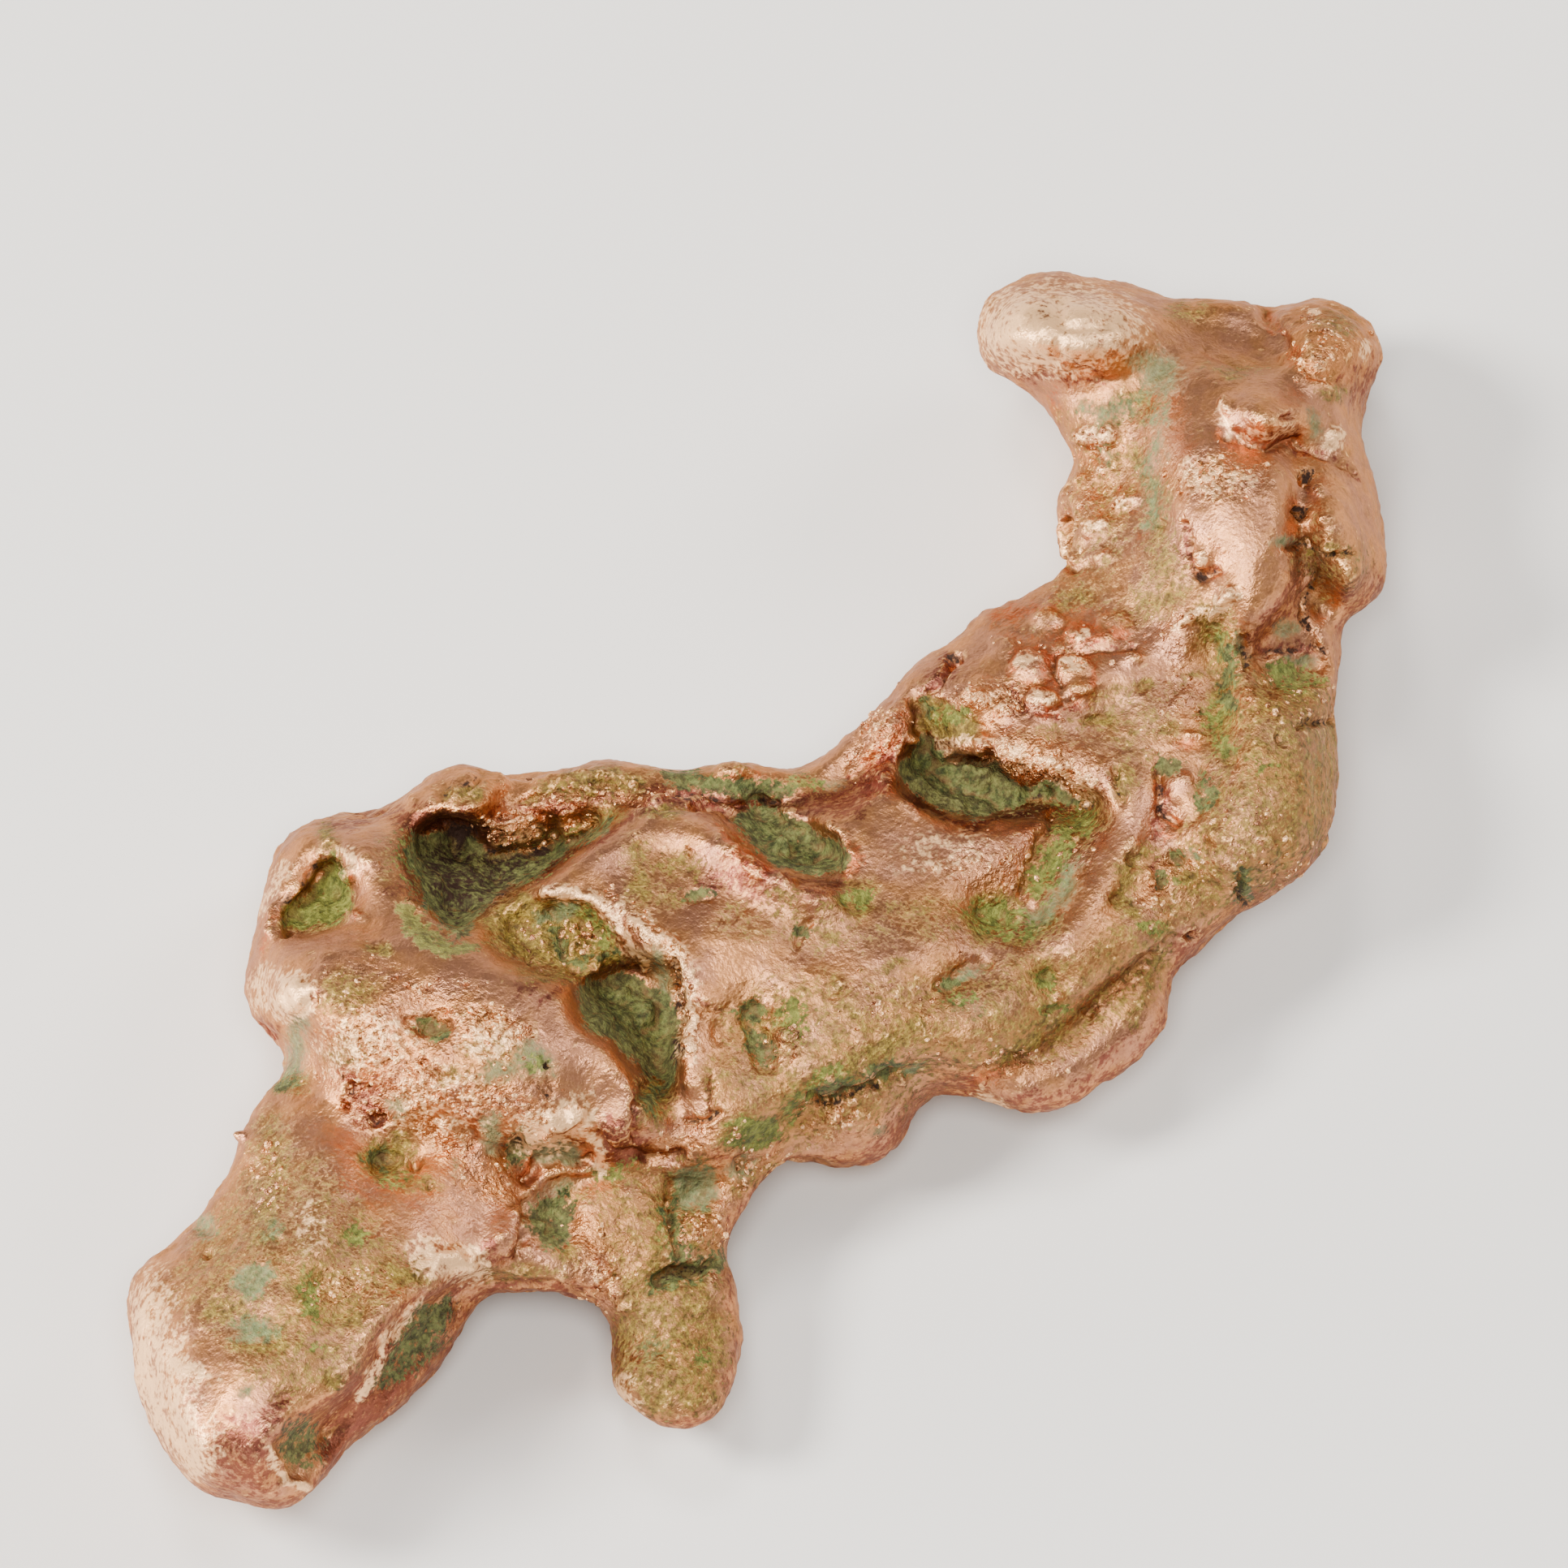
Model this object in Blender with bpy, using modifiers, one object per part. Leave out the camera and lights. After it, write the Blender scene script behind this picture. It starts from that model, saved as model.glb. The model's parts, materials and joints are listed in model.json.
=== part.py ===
"""Native copper nugget: one solid lump of metal that rests on its worn underside.

The nugget is laid out as a relief. Its outline is drawn on a face plane in millimetres, with u to
the right, v up and w out of the face. A slab cut to that outline is swollen to a rounded lump whose
front carries the named lumps, folds and hollows, and whose back carries the low spots it rests on.
The lump is then tipped back so that the face leans, turned so that its length runs along X, worn
flat where it touches the ground, and set with the middle of its underside at the origin.
"""

import math
from dataclasses import dataclass

import bmesh
import bpy
import numpy as np
from mathutils import Euler, Matrix, Vector, geometry, noise

NAME = "copper_nugget"
MM = 0.001

# Driving dimensions, in millimetres and degrees.
LEAN = 28.0              # how far the face leans back from level
TURN = 48.0              # turn about the vertical that brings the length along X
FACE_HEIGHT = 7.2        # height of the face above the ground, before its forms
MID_HEIGHT = 4.2         # height of the lump's widest layer above the ground
UNDER_HEIGHT = 1.1       # height of the underside above the ground, between its low spots
FRONT_ROUND = 2.7        # width of the rounding that runs along the outline in front
BACK_ROUND = 3.8         # width of the rounding that runs along the outline behind
FORM_FADE = 1.1          # width along the outline over which the forms fade in
RIM_HALF = 0.35          # half the thickness that is left right at the outline
THINNEST = 1.3           # least thickness under the deepest hollow

SLAB_HALF = 3.0          # half the thickness of the slab that is swollen
SLAB_VOXEL = 0.35
SKIN_VOXEL = 0.28
SKIN_SMOOTHING = 3
FACE_LIMIT = 9300        # triangles of the finished solid

WARP_REACH = 0.28        # how far the edges of the forms wander
WARP_SCALE = 0.55        # waves of that wander in a millimetre
ROUGHNESS = ((0.22, 0.30), (0.13, 0.75), (0.05, 1.6))   # height, waves in a millimetre
SWAY = ((0.8, 0.13), (0.35, 0.35))                      # the same, of the middle and the underside

COPPER_COLOUR = (0.62, 0.30, 0.19, 1.0)
COPPER_ROUGHNESS = 0.42


def line_distance(places, line, closed=False):
    """Give each place's distance from a line of points."""
    starts = np.array(line)
    ends = np.roll(starts, -1, axis=0)
    if not closed:
        starts, ends = starts[:-1], ends[:-1]
    nearest = np.full(len(places), np.inf)
    for start, end in zip(starts, ends):
        along = end - start
        share = np.clip((places - start) @ along / (along @ along), 0.0, 1.0)
        gap = np.linalg.norm(places - start - share[:, None] * along, axis=1)
        nearest = np.minimum(nearest, gap)
    return nearest


def inside(places, lip):
    """Say which places lie inside a closed line."""
    found = np.zeros(len(places), dtype=bool)
    for (u0, v0), (u1, v1) in zip(lip, lip[1:] + lip[:1]):
        crosses = (v0 > places[:, 1]) != (v1 > places[:, 1])
        rise = v1 - v0 if v1 != v0 else 1.0
        reach = u0 + (places[:, 1] - v0) * (u1 - u0) / rise
        found ^= crosses & (places[:, 0] < reach)
    return found


def smooth_step(share):
    """Ease a share from 0 to 1."""
    share = np.clip(share, 0.0, 1.0)
    return share * share * (3.0 - 2.0 * share)


@dataclass(frozen=True)
class Stretch:
    """One stretch of the outline; a sharp end is a notch where two lobes meet."""

    name: str
    points: tuple
    sharp_end: bool = True


@dataclass(frozen=True)
class Mound:
    """An oval swelling, or a dish where its height is negative."""

    name: str
    u: float
    v: float
    half_length: float
    half_width: float
    turn: float
    height: float
    squareness: float = 1.0

    def height_at(self, places):
        """Give the mound's height at each place."""
        angle = math.radians(self.turn)
        du, dv = places[:, 0] - self.u, places[:, 1] - self.v
        along = (du * math.cos(angle) + dv * math.sin(angle)) / self.half_length
        across = (dv * math.cos(angle) - du * math.sin(angle)) / self.half_width
        return self.height * np.exp(-(along**2 + across**2) ** self.squareness)


@dataclass(frozen=True)
class Fold:
    """A ridge along a line, or a groove where its height is negative."""

    name: str
    height: float
    half_width: float
    line: tuple

    def height_at(self, places):
        """Give the fold's height at each place."""
        return self.height * np.exp(-(line_distance(places, self.line) / self.half_width) ** 2)


@dataclass(frozen=True)
class Hollow:
    """A pit with a floor and walls, drawn by the lip that runs round it."""

    name: str
    depth: float
    wall: float
    lip: tuple

    def height_at(self, places):
        """Give the hollow's height, which is negative, at each place."""
        depth_in = line_distance(places, self.lip, closed=True)
        depth_in = np.where(inside(places, self.lip), depth_in, -depth_in)
        return -self.depth * smooth_step(depth_in / (2.0 * self.wall) + 0.5)


@dataclass(frozen=True)
class Egg:
    """An egg-shaped bite, or a boss where it adds metal; its sizes are half lengths.

    It sits at u, v and so far above one of the layers: the front, the middle or the back.
    """

    name: str
    u: float
    v: float
    layer: str
    rise: float
    size: tuple
    tilt: tuple = (0, 0, 0)
    adds: bool = False


OUTLINE = (
    Stretch("horn", (
        (7.7, 12.2), (6.8, 12.6), (6.2, 13.0), (5.9, 13.8), (6.1, 14.7), (6.7, 15.4),
        (7.5, 15.8), (8.5, 15.9), (9.6, 15.8), (10.7, 15.6), (11.5, 15.2)), False),
    Stretch("saddle", ((12.2, 15.0), (13.3, 15.1), (14.3, 15.0), (14.9, 14.6))),
    Stretch("knob", (
        (15.6, 14.9), (16.9, 15.1), (17.6, 14.7), (18.2, 14.2), (18.5, 13.4), (18.3, 12.8),
        (18.0, 12.2), (17.8, 11.6))),
    Stretch("right_lobe", (
        (17.9, 10.8), (18.1, 9.8), (18.4, 8.9), (18.6, 7.9), (18.8, 6.9), (18.6, 6.1),
        (18.2, 5.5), (17.5, 5.2), (16.9, 5.3), (16.4, 5.7))),
    Stretch("pocket_edge", ((16.9, 5.0), (17.1, 4.3), (17.1, 3.0), (16.9, 2.2))),
    Stretch("right_bulge", (
        (17.1, 1.3), (17.1, 0.1), (17.0, -1.0), (16.6, -2.1), (15.8, -3.0), (14.7, -3.6),
        (14.0, -4.0), (13.1, -4.7), (12.4, -5.3), (12.0, -5.8))),
    Stretch("flap", (
        (11.9, -6.5), (11.9, -7.2), (11.3, -8.0), (10.5, -8.8), (9.4, -9.6), (8.3, -10.1),
        (7.4, -10.2), (6.5, -9.9), (5.8, -9.5))),
    Stretch("lower_lobe", (
        (5.0, -9.5), (4.3, -9.7), (3.9, -10.2), (3.6, -10.8), (3.0, -11.4), (2.3, -11.8),
        (1.5, -11.9), (0.7, -11.8), (0.1, -12.0))),
    Stretch("step", ((-0.6, -12.4), (-1.4, -13.2), (-1.9, -13.7))),
    Stretch("foot", (
        (-1.9, -14.5), (-1.7, -15.2), (-1.5, -16.5), (-1.5, -17.9), (-1.8, -18.9),
        (-2.4, -19.6), (-3.2, -19.8), (-4.2, -19.6), (-5.0, -19.1), (-5.5, -18.4),
        (-5.5, -17.9), (-5.3, -17.4), (-5.2, -16.6))),
    Stretch("arch", ((-5.5, -16.1), (-6.5, -15.7), (-7.7, -15.4), (-8.7, -15.4), (-9.5, -15.6))),
    Stretch("tail", (
        (-9.8, -16.4), (-10.3, -17.4), (-11.1, -18.4), (-12.1, -19.4), (-13.0, -20.0),
        (-13.8, -20.8), (-14.2, -21.6), (-14.9, -22.1), (-15.8, -22.3), (-16.7, -22.1),
        (-17.7, -21.8), (-18.6, -21.0), (-19.4, -19.9), (-19.9, -18.4), (-20.2, -17.0),
        (-20.2, -15.7), (-20.0, -14.9), (-19.4, -14.5)), False),
    Stretch("waist", (
        (-18.6, -13.9), (-17.9, -13.3), (-17.4, -12.5), (-16.9, -11.8), (-16.6, -11.0),
        (-16.3, -10.2), (-15.9, -9.5), (-15.5, -9.1))),
    Stretch("notch", ((-15.3, -8.4), (-15.7, -7.8)), False),
    Stretch("left_shoulder", (
        (-16.2, -7.3), (-16.5, -6.5), (-16.4, -5.3), (-16.2, -4.0), (-15.9, -2.6),
        (-15.5, -1.8), (-14.8, -1.2), (-13.9, -1.0), (-13.0, -0.8), (-12.2, -0.6)), False),
    Stretch("ear", ((-11.6, -0.1), (-10.9, 0.4), (-9.9, 0.6), (-8.9, 0.5), (-8.6, 0.1), (-8.3, -0.1))),
    Stretch("far_edge", (
        (-7.5, 0.3), (-6.6, 0.6), (-5.7, 0.8), (-4.8, 0.8), (-3.9, 0.7), (-3.0, 0.4),
        (-2.2, 0.7), (-1.4, 0.8), (-0.5, 0.5), (0.5, 0.4))),
    Stretch("inner_bend", (
        (1.1, 0.8), (1.9, 1.5), (2.6, 1.9), (3.1, 2.6), (3.6, 3.2), (4.3, 3.8), (5.0, 4.1),
        (5.6, 4.6), (6.2, 5.2), (6.8, 5.4), (7.2, 5.4))),
    Stretch("neck", (
        (7.7, 6.2), (8.3, 6.9), (8.3, 7.9), (8.4, 8.7), (8.8, 9.4), (9.1, 10.0), (8.8, 10.4),
        (8.6, 10.8), (8.3, 11.4), (8.1, 11.9))),
)

# Height of the widest layer, above or below MID_HEIGHT.
MIDDLE = (
    Mound("tail_low_side", -11.6, -17.8, 3.2, 3.6, -30, -2.1),
    Mound("foot", -3.4, -17.6, 2.4, 3.4, 0, -2.0),
    Mound("arch", -7.0, -14.0, 3.0, 2.4, 0, 0.5),
    Mound("flap", 8.8, -8.4, 4.0, 2.6, 35, -1.6),
    Mound("lower_lobe", 2.0, -11.0, 3.2, 2.2, 10, -1.4),
    Mound("right_bulge", 15.0, -1.0, 3.4, 3.8, 0, -0.6),
    Mound("head", 15.0, 9.0, 4.6, 6.0, 0, 1.2),
    Mound("horn", 8.0, 14.2, 3.8, 2.8, 0, 1.5),
    Mound("inner_bend", 4.0, 3.4, 4.0, 2.4, 40, 0.9),
    Mound("far_edge", -4.5, 0.2, 5.0, 2.0, 4, 0.7),
    Mound("left_shoulder", -15.4, -4.8, 2.6, 4.0, 0, -0.5),
    Mound("tail_outer_side", -19.4, -17.6, 2.4, 3.6, 0, -0.8),
)

# Height of the face, above or below FACE_HEIGHT.
FACE = (
    Mound("foot", -3.2, -17.6, 2.6, 2.8, 0, -2.3, 1.5),
    Mound("foot_root", -4.6, -13.6, 3.0, 1.8, 10, -1.5, 1.2),
    Mound("flap", 9.2, -8.6, 3.8, 2.0, 35, -1.9, 1.2),
    Mound("lower_lobe", 2.2, -11.4, 3.0, 1.6, 10, -1.7, 1.2),
    Mound("lower_side", -0.6, -12.0, 2.4, 1.4, 30, -1.0, 1.2),
    Mound("head", 15.0, 9.0, 4.6, 6.0, 0, 1.3),
    Mound("horn", 8.0, 14.2, 3.8, 2.8, 0, 1.3),
    Mound("neck", 9.6, 6.0, 3.0, 3.2, 30, -0.4),
    Mound("inner_bend", 4.0, 3.4, 4.0, 2.4, 40, 0.3),
    Mound("shell", -10.0, -7.0, 5.0, 4.0, -17, 0.6),
    Mound("tail", -14.6, -16.2, 3.2, 6.4, -38, 0.3, 2.0),
)

# Swelling of the underside, down where it is negative; the low spots are what the nugget rests on.
UNDERSIDE = (
    Mound("rest_tail", -16.2, -17.0, 2.4, 2.8, -20, -1.9),
    Mound("rest_foot", -3.4, -17.8, 1.5, 1.8, 0, -1.9),
    Mound("rest_middle", -8.0, -3.6, 3.0, 2.2, 20, -1.9),
    Mound("rest_lobe", 3.0, -8.8, 2.6, 1.6, 20, -1.9),
    Mound("rest_bulge", 14.6, -0.8, 2.2, 2.4, 0, -1.9),
    Mound("rest_head", 13.4, 9.6, 2.2, 2.4, 0, -2.0),
    Mound("under_arch", -8.4, -13.2, 3.4, 2.6, 20, 2.0),
    Mound("under_waist", -13.4, -9.6, 2.4, 2.2, 30, 1.2),
    Mound("under_body", 3.4, -2.4, 4.4, 2.6, 15, 1.5),
    Mound("under_neck", 11.0, 4.6, 2.6, 2.8, 30, 1.6),
    Mound("under_horn", 7.6, 14.2, 2.6, 2.0, 0, 2.4),
    Mound("under_flap", 9.6, -7.0, 1.8, 1.4, 35, 0.8),
    Mound("under_knob", 17.2, 13.6, 1.6, 1.6, 0, 1.6),
)

LUMPS = (
    Mound("central_body", -0.9, -5.3, 8.2, 3.8, -8, 1.5),
    Mound("head_bulge", 14.0, 8.2, 2.6, 4.2, 8, 2.2, 1.5),
    Mound("right_bulge", 15.3, -0.3, 2.8, 3.7, 0, 1.5, 2.0),
    Mound("shell_lump", -9.9, -7.7, 5.6, 2.6, -17, 2.8, 1.8),
    Mound("tail", -15.0, -16.4, 3.3, 6.0, -36, 1.0, 2.2),
    Mound("horn", 8.3, 14.2, 2.8, 1.5, 0, 1.3, 1.2),
    Mound("knob", 16.9, 13.5, 1.5, 1.5, 0, 1.3, 1.5),
    Mound("left_shoulder", -15.0, -6.0, 1.8, 2.0, 0, 1.3, 1.2),
    Mound("ear", -9.8, 0.0, 1.1, 0.5, -8, 0.9, 1.2),
    Mound("far_ledge_crown", -5.9, 0.0, 2.8, 0.6, 8, 0.9),
    Mound("far_ledge_bead", -1.5, 0.3, 1.5, 0.4, 0, 0.6),
    Mound("head_flap", 14.8, 11.4, 1.3, 0.7, -18, 1.3, 2.0),
    Mound("right_lobe", 17.4, 7.6, 1.2, 2.5, 3, 1.4, 2.0),
    Mound("neck_knuckle", 9.5, 7.9, 0.9, 0.8, 0, 0.8, 1.2),
    Mound("neck_bead", 9.5, 10.7, 0.8, 0.6, 0, 0.6, 1.2),
    Mound("pebbled_slope", 8.3, 3.6, 2.8, 1.8, 25, 0.4, 1.2),
    Mound("tail_middle", -15.7, -16.9, 1.5, 2.2, -20, 0.5, 1.2),
)

DISHES = (
    Mound("neck_side", 9.3, 8.7, 1.5, 2.8, -5, -0.9, 1.2),
    Mound("right_bowl", 13.1, -0.1, 0.8, 1.0, 0, -0.8, 1.5),
    Mound("right_low_bowl", 12.2, -2.9, 1.0, 1.1, 0, -0.6, 1.5),
    Mound("shell_bowl", -11.2, -7.3, 0.9, 0.5, 0, -0.7, 1.5),
    Mound("tail_bowl", -12.0, -11.3, 1.1, 0.7, 0, -0.9, 1.5),
    Mound("body_bowl", -0.9, -7.4, 1.0, 1.5, 0, -0.6, 1.5),
    Mound("body_slot", 5.6, -6.0, 1.2, 0.6, 25, -0.8, 1.5),
    Mound("body_dimple", 8.2, -6.0, 0.6, 0.8, 0, -0.8, 1.5),
    Mound("tail_spot", -16.3, -16.6, 1.2, 0.8, 0, -0.4, 1.5),
    Mound("notch_cheek", -15.3, -8.3, 1.0, 1.1, 0, -0.8, 1.2),
)

HOLLOWS = (
    Hollow("deep_basin", 3.6, 0.4, (
        (-11.4, -1.4), (-11.5, -2.2), (-10.9, -3.4), (-10.2, -4.6), (-9.3, -4.1), (-7.9, -3.1),
        (-6.6, -2.2), (-5.4, -1.2), (-5.8, -0.9), (-6.9, -1.3), (-8.2, -1.6), (-9.1, -1.6),
        (-9.8, -1.2), (-10.7, -1.1))),
    Hollow("basin_throat", 1.3, 0.3, (
        (-10.4, -1.6), (-10.2, -2.5), (-9.4, -2.5), (-9.3, -1.9), (-9.8, -1.4))),
    Hollow("far_ledge", 1.9, 0.5, (
        (-9.4, -2.1), (-9.1, -0.8), (-8.2, -0.2), (-5.7, 0.5), (-2.6, 0.4), (-0.1, 0.3),
        (2.1, 1.3), (3.1, 0.8), (2.4, -0.5), (0.8, -1.0), (-1.6, -0.8), (-4.2, -0.9),
        (-5.5, -1.7), (-7.2, -2.7), (-8.7, -3.6))),
    Hollow("back_pit", 2.6, 0.3, (
        (-1.9, -1.1), (-0.7, -0.5), (0.5, -1.1), (1.6, -1.7), (2.1, -2.5), (1.7, -3.0),
        (0.5, -2.9), (-0.9, -2.2))),
    Hollow("scale_shelf", 1.5, 0.35, (
        (-9.2, -4.2), (-7.9, -3.5), (-6.5, -3.4), (-5.4, -4.1), (-4.5, -5.2), (-4.2, -5.8),
        (-5.7, -6.0), (-7.2, -5.7), (-8.7, -5.3))),
    Hollow("scale_pit", 3.0, 0.3, (
        (-6.3, -6.0), (-5.2, -5.7), (-4.2, -5.3), (-3.2, -5.7), (-3.1, -7.3), (-3.2, -8.8),
        (-3.6, -10.0), (-4.2, -9.3), (-4.9, -8.2), (-6.0, -7.5), (-6.5, -6.8))),
    Hollow("left_pocket", 2.4, 0.3, (
        (-14.2, -2.1), (-13.3, -2.9), (-13.2, -3.8), (-13.8, -4.5), (-15.4, -4.7),
        (-15.5, -3.7), (-14.9, -2.9))),
    Hollow("under_shell", 1.1, 0.35, (
        (-8.6, -11.1), (-7.5, -10.6), (-6.1, -10.9), (-5.5, -11.8), (-4.2, -11.8),
        (-2.1, -11.6), (-1.5, -12.5), (-3.1, -13.3), (-4.4, -12.2), (-6.0, -12.2),
        (-6.7, -14.1), (-8.1, -14.2), (-8.2, -12.6))),
    Hollow("main_pit", 2.9, 0.3, (
        (3.5, 0.9), (4.3, 1.7), (5.6, 1.2), (7.0, 0.8), (8.6, 0.3), (9.6, -0.7), (8.3, -0.9),
        (6.8, -1.1), (5.6, -1.1), (4.3, -0.7), (3.6, -0.1))),
    Hollow("main_pit_arm", 1.5, 0.3, (
        (3.9, 2.7), (4.6, 2.9), (5.6, 2.0), (6.5, 1.6), (5.6, 1.1), (4.6, 1.3), (3.9, 1.6))),
    Hollow("head_pocket", 2.3, 0.3, (
        (14.2, 4.2), (14.8, 5.0), (15.8, 5.5), (16.8, 4.4), (16.8, 3.2), (15.8, 2.7),
        (14.6, 2.9))),
    Hollow("toe_pit", 1.5, 0.25, (
        (-15.7, -20.1), (-14.7, -19.6), (-13.3, -19.4), (-13.2, -19.9), (-14.0, -20.9),
        (-14.7, -21.6), (-15.4, -21.4))),
    Hollow("tail_side_face", 2.0, 0.3, (
        (-8.2, -14.8), (-9.2, -15.2), (-11.2, -16.0), (-12.4, -17.1), (-13.2, -18.4),
        (-14.7, -19.5), (-13.4, -20.9), (-11.2, -19.4), (-9.2, -16.9))),
    Hollow("saddle", 1.4, 0.5, (
        (11.6, 14.7), (13.3, 14.7), (14.9, 14.2), (15.6, 13.2), (14.8, 12.8), (13.3, 13.2),
        (12.2, 13.7))),
)

RIDGES = (
    Fold("crest", 1.2, 0.50, (
        (-9.2, -4.0), (-7.7, -3.0), (-6.2, -2.1), (-5.1, -1.4), (-4.1, -0.9), (-2.9, -1.4),
        (-1.6, -2.1), (-0.1, -3.0), (1.2, -3.5))),
    Fold("scale_rim", 0.6, 0.42, (
        (-6.9, -3.2), (-5.7, -3.9), (-4.4, -4.8), (-3.3, -5.7), (-2.9, -7.1), (-3.0, -9.1))),
    Fold("left_fold", 1.0, 0.60, (
        (-14.0, -1.1), (-13.0, -2.0), (-12.4, -3.1), (-11.8, -4.3), (-10.5, -5.0),
        (-9.2, -5.3), (-7.5, -6.0), (-6.0, -7.2), (-4.8, -8.5), (-4.4, -9.8), (-5.2, -11.1))),
    Fold("left_rim", 0.9, 0.4, ((-15.5, -1.9), (-16.0, -3.1), (-16.2, -4.3), (-16.0, -5.1))),
    Fold("pit_ridge", 0.9, 0.50, ((5.7, 1.2), (7.3, 1.0), (8.8, 0.5), (10.1, -0.2))),
    Fold("slope_ridge", 0.5, 0.50, ((13.3, 5.5), (11.8, 4.4), (10.8, 3.9), (9.6, 3.3), (8.1, 2.1))),
    Fold("strip_ridge", 0.5, 0.55, (
        (11.0, 2.9), (11.5, 0.9), (11.2, -0.8), (10.3, -2.4), (9.3, -3.6), (8.5, -5.0))),
    Fold("tail_side_edge", 0.9, 0.45, (
        (-8.2, -13.5), (-9.2, -14.6), (-10.5, -15.1), (-11.8, -15.9), (-12.8, -17.1),
        (-13.4, -18.4), (-14.4, -19.4), (-15.5, -19.8))),
    Fold("tail_spine", 0.5, 0.55, ((-13.7, -11.5), (-14.2, -13.1), (-14.5, -14.5))),
    Fold("pocket_lip", 0.7, 0.38, ((16.1, 5.3), (16.9, 4.4), (17.0, 3.0))),
)

GROOVES = (
    Fold("long_trough", -1.5, 0.85, ((9.2, -0.8), (8.4, -1.9), (7.9, -3.1), (7.3, -4.0), (6.2, -4.0))),
    Fold("upper_trough", -1.2, 0.55, ((13.2, 5.2), (13.5, 3.6), (13.6, 2.4), (13.2, 1.5))),
    Fold("flap_crease", -1.2, 0.45, ((5.7, -9.4), (7.4, -8.6), (9.1, -7.2), (10.8, -6.0), (12.0, -5.4))),
    Fold("lobe_crease", -1.0, 0.42, ((0.2, -10.3), (1.9, -9.5), (3.4, -9.1), (4.4, -8.9))),
    Fold("head_crack", -1.5, 0.34, (
        (15.6, 10.4), (16.1, 9.4), (15.9, 8.4), (16.1, 7.3), (16.5, 6.7), (16.0, 5.5))),
    Fold("head_crack_arm", -0.7, 0.34, ((16.1, 7.3), (16.9, 7.0), (17.6, 7.1))),
    Fold("flap_crack", -1.1, 0.34, ((13.7, 10.8), (14.6, 10.5), (15.7, 10.5), (16.9, 9.9), (17.8, 9.5))),
    Fold("bulge_crack", -0.7, 0.36, ((11.5, 0.7), (11.6, -0.5), (12.1, -1.1))),
    Fold("bulge_trough", -0.7, 0.42, ((11.5, -1.4), (10.8, -2.9), (10.4, -3.6))),
    Fold("pale_valley", -0.8, 0.70, ((11.9, 13.2), (10.8, 11.7), (11.1, 9.7), (11.3, 8.2))),
    Fold("horn_root", -0.7, 0.42, ((7.4, 12.4), (9.1, 12.2), (10.7, 12.9))),
    Fold("shoulder_crease", -0.9, 0.40, ((-16.2, -7.5), (-15.4, -7.7), (-14.5, -9.1))),
    Fold("under_shell_crease", -0.8, 0.42, ((-5.7, -11.5), (-4.2, -11.7), (-3.1, -10.8), (-2.9, -9.8))),
    Fold("foot_crease", -0.8, 0.38, ((-4.0, -15.3), (-3.0, -15.0), (-2.0, -14.8))),
    Fold("neck_pit", -0.7, 0.38, ((12.2, 7.8), (12.5, 6.8), (12.9, 6.3), (13.3, 6.8))),
)

# Bites under the lips and into the sides, and bosses on the sides and the underside.
EGGS = (
    Egg("under_pit_ridge", 7.0, 0.9, "front", -2.4, (1.9, 0.8, 0.9), (0, 0, -12)),
    Egg("under_scale_rim", -3.3, -7.2, "front", -2.2, (0.8, 1.5, 0.8)),
    Egg("under_left_rim", -15.0, -3.6, "front", -1.8, (0.7, 1.1, 0.7)),
    Egg("under_right_lobe", 16.0, 5.2, "front", -1.8, (0.9, 0.8, 0.7)),
    Egg("near_side_dent", -0.8, -12.4, "back", 0.4, (2.2, 1.5, 1.2), (0, 0, 30)),
    Egg("flap_side_dent", 6.0, -10.0, "back", 0.8, (2.4, 1.5, 0.8), (0, 0, 25)),
    Egg("bulge_side_dent", 17.0, -2.6, "back", 0.6, (1.6, 1.6, 1.4)),
    Egg("head_side_dent", 18.8, 9.6, "back", 1.0, (1.3, 2.0, 1.1)),
    Egg("tail_side_dent", -20.0, -18.6, "back", 0.6, (1.5, 2.4, 1.3), (0, 0, -20)),
    Egg("waist_side_dent", -17.4, -11.0, "back", 0.8, (1.6, 2.0, 1.2), (0, 0, 30)),
    Egg("far_side_dent", -3.0, 0.9, "back", 1.0, (2.2, 1.5, 1.3), (0, 0, 5)),
    Egg("neck_side_dent", 8.2, 6.8, "back", 0.8, (1.3, 2.0, 1.3)),
    Egg("under_body_dent", 4.6, -4.6, "back", -0.9, (2.4, 1.5, 1.2), (0, 0, 30)),
    Egg("under_tail_dent", -15.0, -12.6, "back", -0.8, (1.4, 1.8, 1.1), (0, 0, 20)),
    Egg("under_neck_dent", 12.2, 2.4, "back", -0.8, (1.6, 1.3, 1.1)),
    Egg("bend_side_boss", 3.4, 1.6, "back", 0.6, (1.8, 1.1, 1.1), (0, 0, 40), True),
    Egg("far_side_boss", -7.8, -0.6, "back", 0.8, (1.7, 1.0, 1.2), (0, 0, 10), True),
    Egg("shoulder_side_boss", -14.6, -3.2, "back", 0.9, (1.1, 1.7, 1.1), (0, 0, 0), True),
    Egg("tail_under_boss", -13.4, -15.4, "back", 0.2, (1.5, 1.2, 0.9), (0, 0, 40), True),
    Egg("under_body_boss", 0.6, -5.4, "back", -0.1, (2.0, 1.2, 0.8), (0, 0, 20), True),
    Egg("under_neck_boss", 10.4, 1.6, "back", 0.0, (1.4, 1.9, 0.8), (0, 0, -30), True),
    Egg("under_head_boss", 15.6, 6.4, "back", 0.3, (1.3, 1.6, 0.9), (0, 0, 10), True),
    Egg("under_shell_boss", -10.8, -9.0, "back", 0.0, (1.7, 1.1, 0.8), (0, 0, -20), True),
)


def remove_everything():
    """Empty the file, so that the script gives the same result each time."""
    for scene_object in list(bpy.data.objects):
        bpy.data.objects.remove(scene_object, do_unlink=True)


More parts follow.
